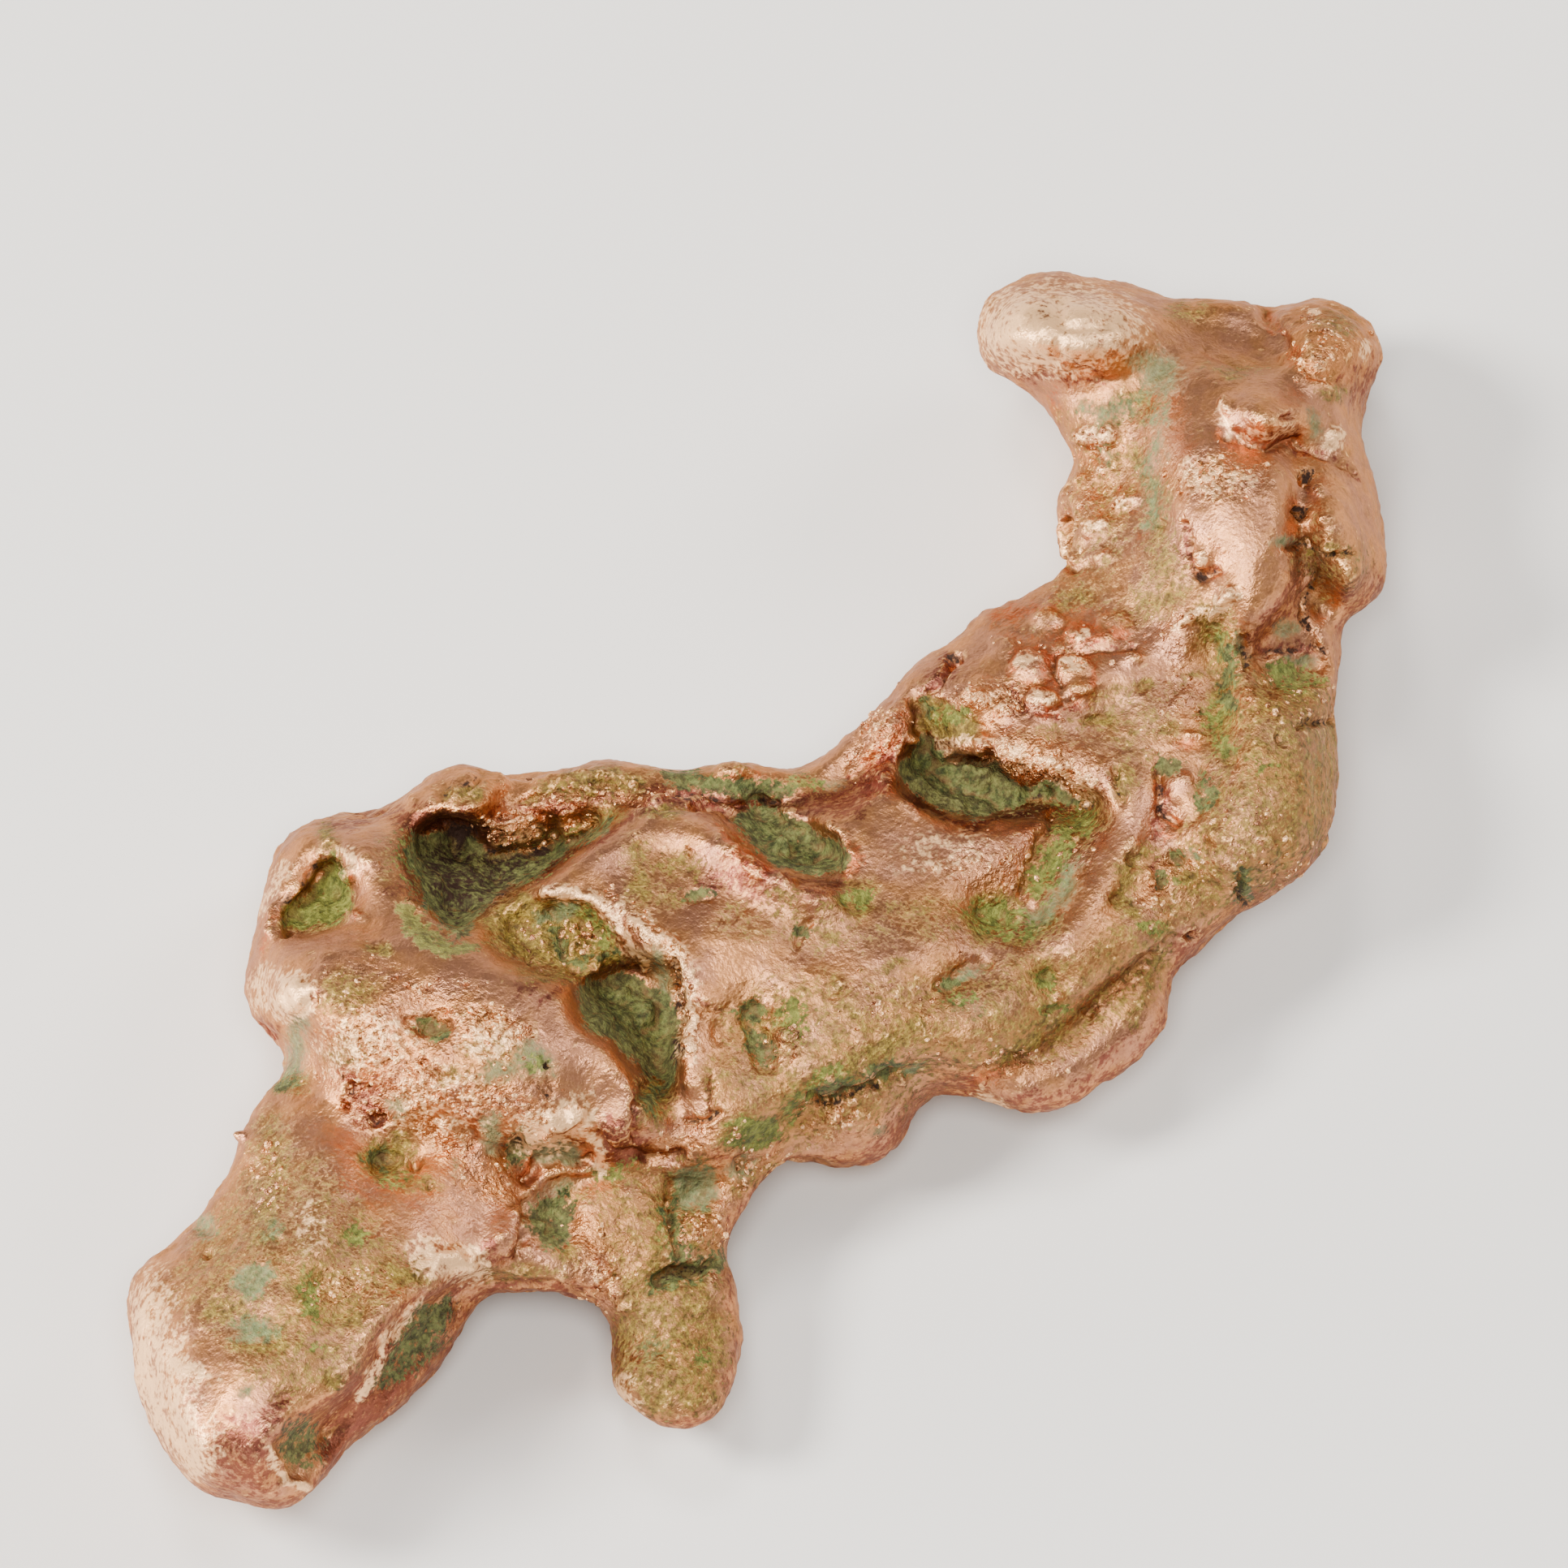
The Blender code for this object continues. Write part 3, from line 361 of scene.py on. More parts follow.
FORMS: dict[str, tuple[Shape, ...]] = {
    "ear": (
        Line(0.25, 13, ((508, 978), (530, 958), (568, 947), (604, 952), (618, 972))),
        Line(-0.4, 7, ((540, 980), (560, 969), (592, 958))), Oval(-0.25, 575, 982, 34, 15, -18),
    ),
    "basin": (
        Area(-0.5, 14, ((536, 1014), (562, 1008), (590, 1016), (596, 1028), (580, 1042), (572, 1066),
                        (560, 1066), (553, 1046), (540, 1032))),
        Shelf(0.95, 7, ((602, 1012), (640, 1002), (674, 1010), (682, 1026), (664, 1046), (640, 1040),
                        (612, 1048), (600, 1034)), (640, 985), (640, 1044)),
        Shelf(0.8, 7, ((684, 1004), (720, 996), (748, 1004), (730, 1022), (704, 1034), (688, 1026)),
                       (715, 985), (712, 1030)), Line(-0.3, 9, ((556, 1112), (596, 1106), (624, 1100))),
        Oval(0.3, 552, 1148, 24, 9, 10), Line(0.22, 8, ((500, 1110), (520, 1122), (534, 1140))),
        Oval(0.2, 640, 1070, 26, 12, -20), Oval(0.2, 535, 1085, 20, 14, 30),
    ),
    "left pocket": (
        Area(-0.35, 7, ((350, 1116), (386, 1086), (402, 1050), (418, 1062), (432, 1090), (434, 1122),
                        (412, 1142), (378, 1146), (346, 1158))),
        Line(0.25, 10, ((404, 1038), (384, 1070), (362, 1096), (342, 1120), (334, 1148))),
        Oval(0.25, 428, 1080, 14, 12), Oval(0.15, 452, 1062, 18, 12, 40), Oval(0.18, 440, 1132, 14, 10),
    ),
    "scale": (
        Line(0.25, 9, ((676, 1097), (705, 1100), (735, 1107), (755, 1130), (772, 1160), (790, 1194))),
        Line(0.22, 13, ((750, 1112), (795, 1144), (830, 1166), (846, 1196), (852, 1250), (843, 1302))),
        Line(-0.5, 8, ((831, 1190), (836, 1215), (837, 1245), (834, 1275), (838, 1300))),
        Oval(0.5, 794, 1250, 15, 20, 20), Oval(0.25, 742, 1262, 14, 11), Oval(0.2, 765, 1225, 14, 9, -20),
        Line(0.3, 8, ((700, 1135), (708, 1160), (700, 1178))), Line(0.3, 7, ((736, 1172), (726, 1192))),
        Line(0.25, 6, ((762, 1172), (772, 1190))), Line(-0.35, 8, ((688, 1146), (694, 1176), (712, 1194))),
        Line(-0.25, 7, ((640, 1150), (655, 1168), (650, 1184))),
        Line(-0.2, 7, ((618, 1120), (632, 1140), (628, 1160))), Oval(0.18, 664, 1128, 18, 10, 20),
        Oval(-0.2, 735, 1145, 14, 10),
    ),
    "crest": (
        Line(0.2, 10, ((655, 1086), (700, 1061), (750, 1031), (778, 1006), (802, 1001))),
        Oval(-0.25, 862, 1102, 22, 9, 8), Line(-0.1, 4, ((861, 1066), (863, 1092))),
        Line(-0.15, 5, ((848, 1048), (852, 1058))),
        Line(-0.12, 4, ((880, 1128), (898, 1130), (912, 1118), (925, 1112))),
        Line(-0.22, 6, ((1000, 1138), (985, 1146), (979, 1163))),
        Line(-0.18, 5, ((1020, 1204), (1018, 1218), (1030, 1228), (1046, 1219))),
        Oval(0.15, 1035, 1212, 10, 8),
    ),
    "far edge": (
        Oval(-0.7, 951, 991, 13, 8), Oval(0.4, 957, 1046, 12, 10), Oval(0.4, 982, 1010, 18, 11, 30),
        Oval(0.3, 1030, 1022, 14, 9, 20),
        Line(0.22, 11, ((885, 1030), (915, 1055), (940, 1078), (975, 1086))),
        Line(0.25, 9, ((1040, 1030), (1050, 1058), (1044, 1078))),
        Line(-0.35, 7, ((822, 976), (870, 981), (910, 990), (945, 986))),
        Line(-0.28, 6, ((790, 990), (840, 994), (880, 998), (905, 1004))),
        Line(0.2, 7, ((800, 982), (850, 986), (900, 984), (940, 990))), Oval(0.3, 905, 951, 34, 10),
        Oval(0.35, 780, 968, 10, 9), Oval(-0.25, 742, 966, 22, 8),
        Line(0.15, 8, ((660, 970), (700, 958), (740, 956), (780, 964))),
        Line(-0.2, 7, ((640, 990), (690, 980), (740, 982), (790, 992))), Oval(-0.3, 1080, 968, 26, 14, -20),
        Line(0.2, 9, ((1050, 950), (1080, 915), (1100, 885))),
        Line(-0.25, 7, ((1066, 958), (1090, 930), (1110, 900))),
    ),
    "main pit": (
        Shelf(0.7, 6, ((1150, 912), (1180, 904), (1216, 908), (1226, 922), (1208, 936), (1180, 932),
                       (1160, 938), (1148, 926)), (1185, 896), (1185, 932)),
        Line(-0.35, 7, ((1154, 938), (1180, 940), (1208, 942), (1228, 934))), Oval(0.3, 1125, 914, 10, 9),
        Oval(0.45, 1282, 978, 14, 8), Line(-0.3, 13, ((1150, 950), (1190, 975), (1230, 985))),
        Line(0.25, 12, ((1190, 950), (1225, 960), (1250, 975))),
        Line(0.22, 9, ((1135, 965), (1160, 985), (1190, 995))), Oval(-0.5, 1337, 991, 13, 8),
        Line(0.2, 13, ((1236, 930), (1270, 934), (1305, 946), (1336, 968))),
        Line(0.18, 9, ((1110, 990), (1160, 1010), (1200, 1017), (1250, 1006), (1300, 1002))),
    ),
    "shoulder": (
        Line(-0.35, 11, ((1126, 858), (1138, 884), (1138, 905))), Oval(-0.6, 1174, 813, 12, 10),
        Line(-0.3, 8, ((1173, 815), (1160, 838), (1145, 855))),
        Line(-0.2, 9, ((1150, 868), (1180, 884), (1212, 898))), Oval(0.22, 1196, 868, 16, 12),
        Line(-0.3, 7, ((1372, 948), (1378, 968), (1383, 986))), Oval(-0.15, 1405, 845, 20, 9, -25),
        Oval(-0.15, 1350, 888, 24, 8, -10),
    ),
    "pebbles": (
        Oval(0.35, 1267, 820, 26, 23), Oval(0.38, 1326, 826, 26, 19), Oval(0.28, 1283, 866, 28, 17, -10),
        Oval(0.26, 1208, 866, 19, 15), Oval(0.26, 1241, 872, 16, 15), Oval(0.3, 1328, 780, 21, 16),
        Oval(0.24, 1370, 776, 34, 18, -14), Oval(0.24, 1290, 764, 24, 14), Oval(0.22, 1334, 850, 18, 13),
        Oval(0.18, 1236, 800, 20, 16), Oval(0.16, 1392, 812, 22, 12, -15),
        Line(-0.15, 6, ((1300, 806), (1345, 801), (1400, 795))),
        Line(-0.22, 7, ((1246, 848), (1262, 872), (1300, 884), (1322, 866))),
        Line(-0.2, 6, ((1296, 800), (1300, 830), (1312, 846))),
    ),
    "trough": (
        Line(-0.28, 9, ((1293, 1012), (1279, 1045), (1268, 1086), (1262, 1104))),
        Oval(-0.18, 1262, 1128, 32, 17, -15), Oval(0.2, 1254, 1131, 13, 9),
        Oval(-0.12, 1312, 1095, 22, 12, -60), Oval(-0.15, 1060, 1108, 30, 16),
        Oval(-0.15, 1225, 1130, 28, 18),
    ),
    "body": (
        Area(-0.3, 14, ((908, 1244), (930, 1232), (948, 1248), (956, 1290), (960, 1322), (934, 1326),
                        (914, 1292))), Oval(0.25, 968, 1275, 16, 13), Oval(0.2, 945, 1262, 9, 8),
        Line(-0.2, 5, ((862, 1234), (876, 1240), (893, 1246))), Line(-0.15, 4, ((866, 1252), (874, 1240))),
        Oval(-0.15, 884, 1270, 13, 20),
        Line(-0.25, 8, ((1158, 1214), (1172, 1203), (1198, 1189), (1216, 1186))),
        Oval(-0.25, 1172, 1216, 10, 9), Oval(-0.22, 1298, 1244, 18, 9), Oval(-0.22, 1287, 1204, 11, 14),
        Oval(0.25, 1305, 1229, 9, 8),
        Line(-0.45, 8, ((1002, 1352), (1020, 1363), (1040, 1349), (1062, 1341), (1085, 1337),
                        (1102, 1322))), Oval(0.22, 1068, 1316, 18, 10, -20), Oval(0.25, 1024, 1374, 18, 12),
        Oval(0.25, 1110, 1330, 9, 7), Oval(0.25, 1046, 1362, 9, 7),
        Line(-0.25, 7, ((1215, 1312), (1240, 1300), (1262, 1302))), Oval(0.22, 1240, 1322, 12, 8),
        Oval(0.22, 1208, 1332, 10, 8),
        Line(-0.22, 12, ((1340, 1248), (1372, 1214), (1410, 1186), (1450, 1160))),
        Oval(0.18, 1398, 1206, 14, 10, -35), Oval(0.18, 1425, 1178, 12, 8, -35),
    ),
    "belly": (
        Line(-0.28, 6, ((842, 1379), (862, 1377), (886, 1368))),
        Line(-0.25, 5, ((874, 1330), (880, 1352), (876, 1366))),
        Line(-0.35, 9, ((792, 1340), (786, 1372), (789, 1404))),
        Line(-0.35, 11, ((736, 1400), (756, 1424), (800, 1428), (842, 1424))),
        Oval(-0.25, 844, 1468, 34, 24, 20), Oval(-0.25, 914, 1438, 16, 14),
        Oval(0.35, 862, 1518, 32, 24, -20), Line(-0.4, 9, ((832, 1480), (830, 1512), (840, 1546))),
        Line(-0.6, 9, ((812, 1578), (832, 1564), (858, 1570), (886, 1555))), Oval(0.35, 887, 1527, 9, 8),
        Oval(0.25, 772, 1604, 14, 12), Oval(0.25, 760, 1590, 10, 9), Oval(0.2, 748, 1568, 10, 9),
        Line(-0.16, 5, ((808, 1664), (822, 1674), (834, 1682))), Oval(-0.12, 862, 1681, 12, 9),
        Line(-0.1, 10, ((850, 1600), (872, 1640), (880, 1690))),
    ),
    "knuckle": (
        Line(0.3, 12, ((652, 1474), (670, 1448), (694, 1436), (724, 1441))),
        Line(-0.28, 9, ((646, 1458), (660, 1432), (690, 1424), (726, 1428))),
        Line(0.3, 17, ((657, 1397), (682, 1386), (712, 1374))), Oval(-0.4, 637, 1412, 13, 18, 15),
        Line(0.18, 9, ((637, 1494), (634, 1520), (626, 1545))),
        Line(-0.3, 8, ((650, 1490), (647, 1520), (640, 1548))), Oval(0.3, 664, 1511, 10, 11),
        Line(0.22, 16, ((530, 1546), (558, 1548), (578, 1560))),
        Line(0.2, 9, ((600, 1558), (650, 1566), (700, 1572))),
        Line(-0.22, 7, ((600, 1580), (660, 1580), (700, 1588))),
    ),
    "left lump": (
        Oval(0.22, 361, 1224, 24, 26), Oval(-0.2, 384, 1228, 11, 13),
        Line(-0.18, 8, ((320, 1272), (345, 1280), (356, 1300))), Oval(-0.35, 535, 1265, 27, 12),
        Line(-0.25, 6, ((504, 1254), (522, 1256), (548, 1248))), Oval(-0.4, 675, 1311, 7, 7),
        Line(-0.25, 4, ((655, 1328), (674, 1352))), Line(-0.2, 4, ((668, 1326), (681, 1346))),
        Oval(-0.35, 436, 1341, 11, 14), Oval(-0.3, 456, 1344, 9, 9), Oval(-0.35, 464, 1380, 11, 12),
        Oval(-0.28, 430, 1366, 9, 8), Oval(-0.22, 476, 1312, 14, 6, -20), Oval(-0.22, 524, 1310, 7, 6),
        Oval(-0.22, 536, 1348, 8, 6), Oval(-0.35, 476, 1428, 23, 19, -30), Oval(-0.35, 507, 1432, 11, 12),
        Oval(-0.28, 528, 1461, 8, 7), Oval(-0.18, 465, 1169, 15, 8),
        Line(-0.18, 8, ((500, 1290), (530, 1320), (560, 1330))),
        Line(-0.18, 9, ((560, 1380), (590, 1410), (620, 1420))),
    ),
    "tail": (
        Oval(-0.12, 310, 1577, 34, 20, -15), Oval(-0.18, 255, 1514, 15, 12), Oval(-0.22, 342, 1526, 7, 6),
        Oval(-0.2, 258, 1545, 8, 7), Oval(-0.12, 352, 1722, 20, 11, -35),
        Oval(-0.15, 407, 1703, 12, 15, 15),
        Line(0.3, 11, ((512, 1606), (482, 1646), (463, 1688), (448, 1722))),
        Line(0.28, 9, ((333, 1788), (338, 1808), (352, 1822), (374, 1832))), Oval(0.35, 299, 1402, 9, 7),
        Oval(-0.2, 520, 1571, 9, 8), Oval(-0.12, 415, 1618, 24, 18),
    ),
    "horn": (
        Oval(0.12, 1270, 380, 32, 20), Oval(0.12, 1331, 386, 34, 16), Oval(0.12, 1288, 420, 24, 28),
        Oval(0.12, 1331, 430, 28, 18), Oval(0.1, 1376, 400, 20, 26),
        Line(-0.12, 9, ((1303, 372), (1302, 400), (1310, 444))),
        Line(-0.12, 9, ((1310, 403), (1350, 402), (1374, 394))),
        Line(-0.12, 11, ((1232, 448), (1290, 462), (1335, 460), (1366, 472))), Oval(0.2, 1272, 456, 10, 7),
        Oval(0.18, 1310, 454, 12, 7),
    ),
    "neck": (
        Oval(0.25, 1334, 540, 22, 16), Oval(0.25, 1364, 538, 16, 18), Oval(-0.25, 1345, 562, 10, 8),
        Oval(0.25, 1352, 652, 26, 15, -8), Oval(0.25, 1312, 672, 16, 30, -10),
        Oval(0.22, 1388, 620, 22, 13, -20), Oval(0.18, 1335, 590, 18, 12), Oval(0.15, 1365, 580, 14, 12),
        Oval(-0.28, 1315, 650, 9, 12), Oval(0.16, 1360, 690, 20, 10, -20),
        Line(-0.25, 9, ((1300, 688), (1318, 702), (1345, 700))), Oval(-0.2, 1431, 649, 8, 6),
        Line(-0.28, 6, ((1459, 648), (1463, 672), (1467, 700), (1482, 714), (1498, 706))),
        Oval(0.3, 1481, 692, 12, 15), Line(0.4, 11, ((1497, 758), (1513, 735))),
        Line(0.25, 8, ((1458, 770), (1480, 752))),
    ),
    "head": (
        Shelf(0.28, 9, ((1504, 490), (1540, 482), (1588, 488), (1604, 502), (1600, 532), (1568, 540),
                        (1536, 536), (1514, 524)), (1560, 474), (1552, 536)),
        Line(-0.28, 6, ((1511, 532), (1532, 542), (1560, 550), (1596, 544))),
        Oval(-0.35, 1590, 514, 14, 8, -30), Oval(0.25, 1513, 500, 10, 14),
        Line(-0.16, 5, ((1596, 550), (1622, 560), (1646, 568), (1668, 582))), Oval(-0.8, 1611, 592, 8, 10),
        Oval(-0.8, 1604, 631, 9, 9), Oval(0.2, 1636, 640, 12, 10), Oval(0.18, 1628, 608, 10, 10),
        Line(-0.16, 5, ((1604, 648), (1612, 664), (1618, 700))),
        Line(-0.22, 5, ((1594, 674), (1612, 666), (1626, 684), (1646, 689), (1670, 683))),
        Line(-0.22, 5, ((1622, 702), (1613, 728), (1602, 748))), Oval(0.25, 1639, 676, 11, 8),
        Oval(-0.12, 1583, 672, 20, 12), Line(-0.3, 14, ((1560, 368), (1566, 392), (1580, 420))),
        Line(-0.22, 10, ((1596, 440), (1620, 462), (1650, 474))),
        Line(-0.15, 9, ((1484, 432), (1530, 448), (1580, 444))), Oval(0.22, 1642, 538, 13, 16, 10),
        Oval(0.15, 1602, 446, 10, 7),
    ),
    "right side": (
        Line(-0.28, 6, ((1531, 786), (1536, 804), (1541, 822))),
        Line(-0.2, 7, ((1604, 752), (1611, 776), (1622, 798), (1632, 808))),
        Line(-0.18, 6, ((1545, 814), (1574, 801), (1602, 800))),
        Area(-0.22, 10, ((1550, 814), (1600, 802), (1634, 818), (1634, 846), (1596, 856), (1562, 846))),
        Line(-0.3, 6, ((1598, 898), (1615, 889), (1641, 887))), Oval(-0.18, 1571, 911, 8, 15, -18),
        Line(-0.3, 7, ((1428, 944), (1429, 975), (1437, 999), (1454, 1011))), Oval(0.2, 1456, 968, 21, 24),
        Line(-0.22, 9, ((1476, 944), (1484, 980), (1470, 1006))), Oval(-0.28, 1434, 1086, 12, 12),
        Oval(-0.25, 1446, 1058, 13, 12), Oval(-0.25, 1398, 1062, 10, 12), Oval(-0.22, 1378, 1104, 12, 12),
        Oval(0.18, 1412, 1080, 12, 14), Oval(0.18, 1470, 912, 20, 9),
        Line(-0.3, 6, ((1529, 1080), (1530, 1098), (1537, 1118))), Oval(-0.5, 1470, 1153, 13, 9, -30),
        Oval(-0.18, 1512, 930, 12, 16), Oval(0.15, 1500, 1030, 20, 12),
        Line(-0.12, 10, ((1560, 1010), (1580, 1050), (1574, 1090))),
    ),
}

STAINS: dict[Tint, tuple[Shape, ...]] = {
    Tint.DEEP: (
        Area(1.0, 9, ((504, 1022), (499, 1050), (512, 1082), (522, 1110), (540, 1138), (562, 1158),
                      (590, 1132), (625, 1104), (655, 1083), (704, 1054), (750, 1022), (756, 1004),
                      (738, 1010), (706, 1030), (684, 1036), (664, 1050), (636, 1043), (604, 1048),
                      (580, 1030), (545, 1020))),
        Line(1.0, 13, ((822, 955), (860, 962), (900, 968), (965, 976))),
        Area(1.0, 9, ((944, 992), (966, 1002), (990, 1017), (1020, 1032), (1048, 1056), (1042, 1078),
                      (1000, 1080), (960, 1068), (932, 1046), (916, 1028), (900, 1014))),
        Area(1.0, 8, ((1114, 938), (1130, 904), (1148, 912), (1160, 938), (1180, 936), (1206, 940),
                      (1230, 934), (1248, 954), (1275, 966), (1312, 970), (1338, 986), (1335, 1000),
                      (1300, 992), (1270, 987), (1240, 1000), (1200, 1011), (1160, 1001), (1120, 984))),
        Area(1.0, 10, ((718, 1214), (755, 1204), (790, 1208), (822, 1222), (836, 1240), (838, 1300),
                       (826, 1340), (806, 1330), (785, 1308), (755, 1288), (720, 1264))),
        Oval(1.0, 925, 1244, 19, 14),
        Area(0.72, 14, ((912, 1262), (940, 1262), (952, 1290), (954, 1318), (932, 1318), (914, 1294))),
        Line(1.0, 12, ((812, 1577), (840, 1565), (882, 1555))),
        Area(0.9, 12, ((655, 1480), (700, 1470), (712, 1490), (708, 1520), (690, 1540), (664, 1534),
                       (648, 1508))), Oval(1.0, 636, 1416, 17, 24, 20), Oval(1.0, 535, 1265, 26, 12),
        # Painted shade on the tail's side face, in deep green.
        Area(0.8, 12, ((478, 1670), (496, 1634), (520, 1608), (550, 1594), (562, 1606), (545, 1645),
                       (508, 1684))), Oval(0.72, 370, 1780, 32, 34),
        Area(0.66, 14, ((450, 1715), (490, 1650), (520, 1612), (572, 1596), (560, 1650), (500, 1705))),
        Line(0.85, 10, ((832, 1474), (831, 1510), (838, 1548))), Oval(1.0, 1440, 946, 15, 12),
        Line(0.85, 10, ((1482, 950), (1490, 980), (1478, 1000))), Oval(0.9, 1446, 1060, 12, 11),
        Oval(1.0, 1433, 1086, 11, 12), Oval(0.95, 862, 1102, 19, 9, 8), Oval(0.9, 992, 1143, 13, 9),
        Area(0.85, 12, ((1000, 1350), (1030, 1336), (1062, 1318), (1098, 1300), (1118, 1308), (1094, 1330),
                        (1058, 1344), (1014, 1362))), Oval(0.85, 1172, 1214, 12, 10),
        Line(0.85, 8, ((1530, 1078), (1533, 1108))), Line(0.8, 13, ((1510, 806), (1511, 840), (1514, 866))),
        Oval(0.72, 1140, 872, 14, 20, -20), Oval(0.72, 810, 1350, 14, 26, 10),
        Oval(0.72, 470, 1428, 18, 14, -20), Oval(0.8, 352, 1338, 18, 13),
        Line(0.8, 8, ((684, 1148), (692, 1178))), Line(0.8, 7, ((702, 1186), (730, 1180), (758, 1172))),
    ),
    Tint.MOSS: (
        Area(1.0, 9, ((348, 1146), (356, 1114), (386, 1088), (402, 1052), (418, 1064), (434, 1092),
                      (434, 1120), (412, 1140), (380, 1145))),
        Area(1.0, 10, ((492, 1114), (508, 1108), (530, 1140), (560, 1162), (596, 1160), (580, 1181),
                       (548, 1182), (520, 1166), (496, 1146))),
        Line(0.6, 20, ((500, 1040), (515, 1080), (540, 1110), (580, 1100), (640, 1072), (700, 1040))),
        Line(0.62, 20, ((1138, 945), (1180, 965), (1230, 985), (1290, 985))),
        Line(0.6, 20, ((930, 1020), (970, 1045), (1020, 1060))), Oval(0.85, 1166, 882, 20, 13, 20),
        Area(0.9, 10, ((905, 1382), (950, 1378), (956, 1402), (930, 1420), (892, 1414))),
        Oval(0.85, 386, 1598, 14, 30, -15), Oval(0.8, 388, 1664, 9, 7), Oval(0.85, 438, 1520, 14, 11),
        Oval(0.7, 535, 1268, 28, 10),
        Line(0.9, 14, ((1336, 1008), (1306, 1035), (1290, 1070), (1284, 1095))),
        Oval(0.9, 1228, 1130, 34, 17, 10), Line(0.8, 9, ((1270, 1146), (1235, 1150))),
        Oval(0.78, 980, 1252, 24, 26, 20), Line(0.85, 11, ((728, 1130), (744, 1148), (742, 1160))),
        Oval(0.9, 1592, 832, 38, 17, 8), Oval(0.72, 1512, 915, 13, 15),
        Line(0.8, 12, ((1494, 890), (1502, 880))), Oval(0.5, 1556, 940, 22, 14),
        Oval(0.95, 862, 1681, 11, 8), Oval(0.6, 862, 1665, 9, 8), Oval(0.78, 1060, 1106, 17, 13),
        Oval(0.6, 1076, 1102, 10, 8), Line(0.78, 11, ((975, 1368), (1000, 1346), (1035, 1326))),
        Oval(0.85, 1298, 1244, 18, 9), Oval(0.85, 1288, 1206, 11, 13), Oval(0.7, 1418, 1140, 22, 10, -8),
        Oval(0.62, 1450, 1085, 13, 11), Oval(0.7, 1480, 960, 11, 14),
        Line(0.7, 13, ((1500, 785), (1508, 810))), Oval(0.5, 1180, 1235, 20, 12),
        Oval(0.6, 656, 1312, 18, 16, 20), Line(0.62, 9, ((820, 1490), (816, 1530))),
        Line(0.72, 10, ((740, 1446), (780, 1440))), Line(0.8, 10, ((860, 960), (920, 966), (1010, 968))),
        Oval(0.5, 690, 1500, 20, 30), Oval(0.5, 540, 1262, 10, 6), Line(0.6, 9, ((500, 1455), (478, 1448))),
        Area(0.56, 16, ((725, 1225), (790, 1220), (830, 1250), (828, 1300), (780, 1296), (740, 1270))),
    ),
    Tint.PALE: (
        Line(0.9, 14, ((1316, 1066), (1312, 1092), (1292, 1118), (1268, 1136))),
        Line(0.95, 14, ((808, 1178), (820, 1205), (820, 1236))),
        Area(0.85, 10, ((655, 1118), (690, 1104), (722, 1114), (720, 1126), (690, 1134), (658, 1138))),
        Oval(0.6, 416, 1092, 14, 22), Line(0.9, 13, ((368, 1250), (366, 1290), (364, 1320))),
        Oval(0.92, 655, 1306, 28, 24, 30), Oval(0.85, 612, 1325, 26, 14), Oval(0.9, 600, 1394, 16, 22),
        Oval(0.85, 494, 1362, 11, 18),
        Area(0.95, 8, ((648, 1406), (700, 1402), (724, 1420), (722, 1436), (690, 1430), (660, 1436),
                       (645, 1426))), Oval(0.72, 690, 1470, 22, 12, -25),
        Area(0.95, 10, ((824, 1448), (850, 1440), (888, 1448), (892, 1470), (862, 1488), (838, 1488))),
        Oval(0.85, 914, 1438, 15, 14), Oval(0.75, 946, 1304, 15, 14), Oval(0.9, 1190, 1200, 24, 11, -30),
        Oval(0.9, 1126, 1319, 16, 8, -10), Oval(0.45, 1185, 1240, 26, 14), Oval(0.9, 1604, 812, 20, 8, 5),
        Oval(0.8, 1580, 826, 20, 12), Oval(0.78, 1586, 778, 14, 13), Oval(0.75, 1582, 670, 17, 10),
        Oval(0.78, 1618, 524, 12, 20, -15),
        Area(0.95, 26, ((1402, 440), (1432, 428), (1456, 446), (1452, 478), (1428, 490), (1404, 484))),
        Area(0.85, 22, ((1330, 500), (1362, 490), (1398, 492), (1392, 510), (1362, 520), (1335, 514))),
        Area(0.8, 20, ((1415, 504), (1440, 496), (1444, 524), (1430, 538), (1416, 524))),
        Line(0.66, 12, ((1430, 545), (1420, 590), (1422, 640))), Oval(0.7, 1412, 652, 12, 8),
        Line(0.5, 10, ((1355, 520), (1365, 560))),
        Area(0.95, 10, ((284, 1590), (300, 1562), (336, 1556), (342, 1572), (326, 1594), (298, 1600))),
        Oval(0.95, 317, 1634, 32, 16), Oval(0.9, 254, 1510, 15, 14, -30), Oval(0.7, 334, 1514, 11, 14),
        Oval(0.85, 296, 1712, 8, 11), Oval(0.7, 1020, 967, 24, 8), Oval(0.55, 985, 1064, 34, 11, 8),
        Oval(0.5, 1160, 934, 34, 17, 10), Oval(0.5, 1300, 978, 20, 9), Oval(0.66, 1482, 994, 12, 12),
        Oval(0.72, 1466, 1056, 13, 9), Oval(0.4, 806, 1660, 20, 22), Oval(0.6, 1080, 1398, 13, 9),
        Oval(0.8, 1524, 796, 8, 14), Oval(0.45, 610, 1280, 26, 18), Oval(0.4, 560, 1440, 14, 12),
    ),
    Tint.OLIVE: (
        Area(0.9, 14, ((596, 1136), (640, 1100), (690, 1106), (735, 1118), (760, 1150), (772, 1188),
                       (740, 1198), (690, 1196), (640, 1180), (604, 1164))),
        Line(0.8, 14, ((786, 1046), (788, 1085), (786, 1108))), Oval(0.66, 835, 1068, 38, 22),
        Oval(0.62, 822, 1108, 38, 12), Line(0.85, 22, ((1340, 1005), (1305, 1035), (1285, 1080))),
        Oval(0.9, 1224, 1130, 40, 28, -10), Line(0.8, 14, ((1296, 1134), (1275, 1150), (1240, 1154))),
        Area(0.95, 10, ((1124, 858), (1150, 852), (1190, 880), (1208, 902), (1180, 914), (1150, 908),
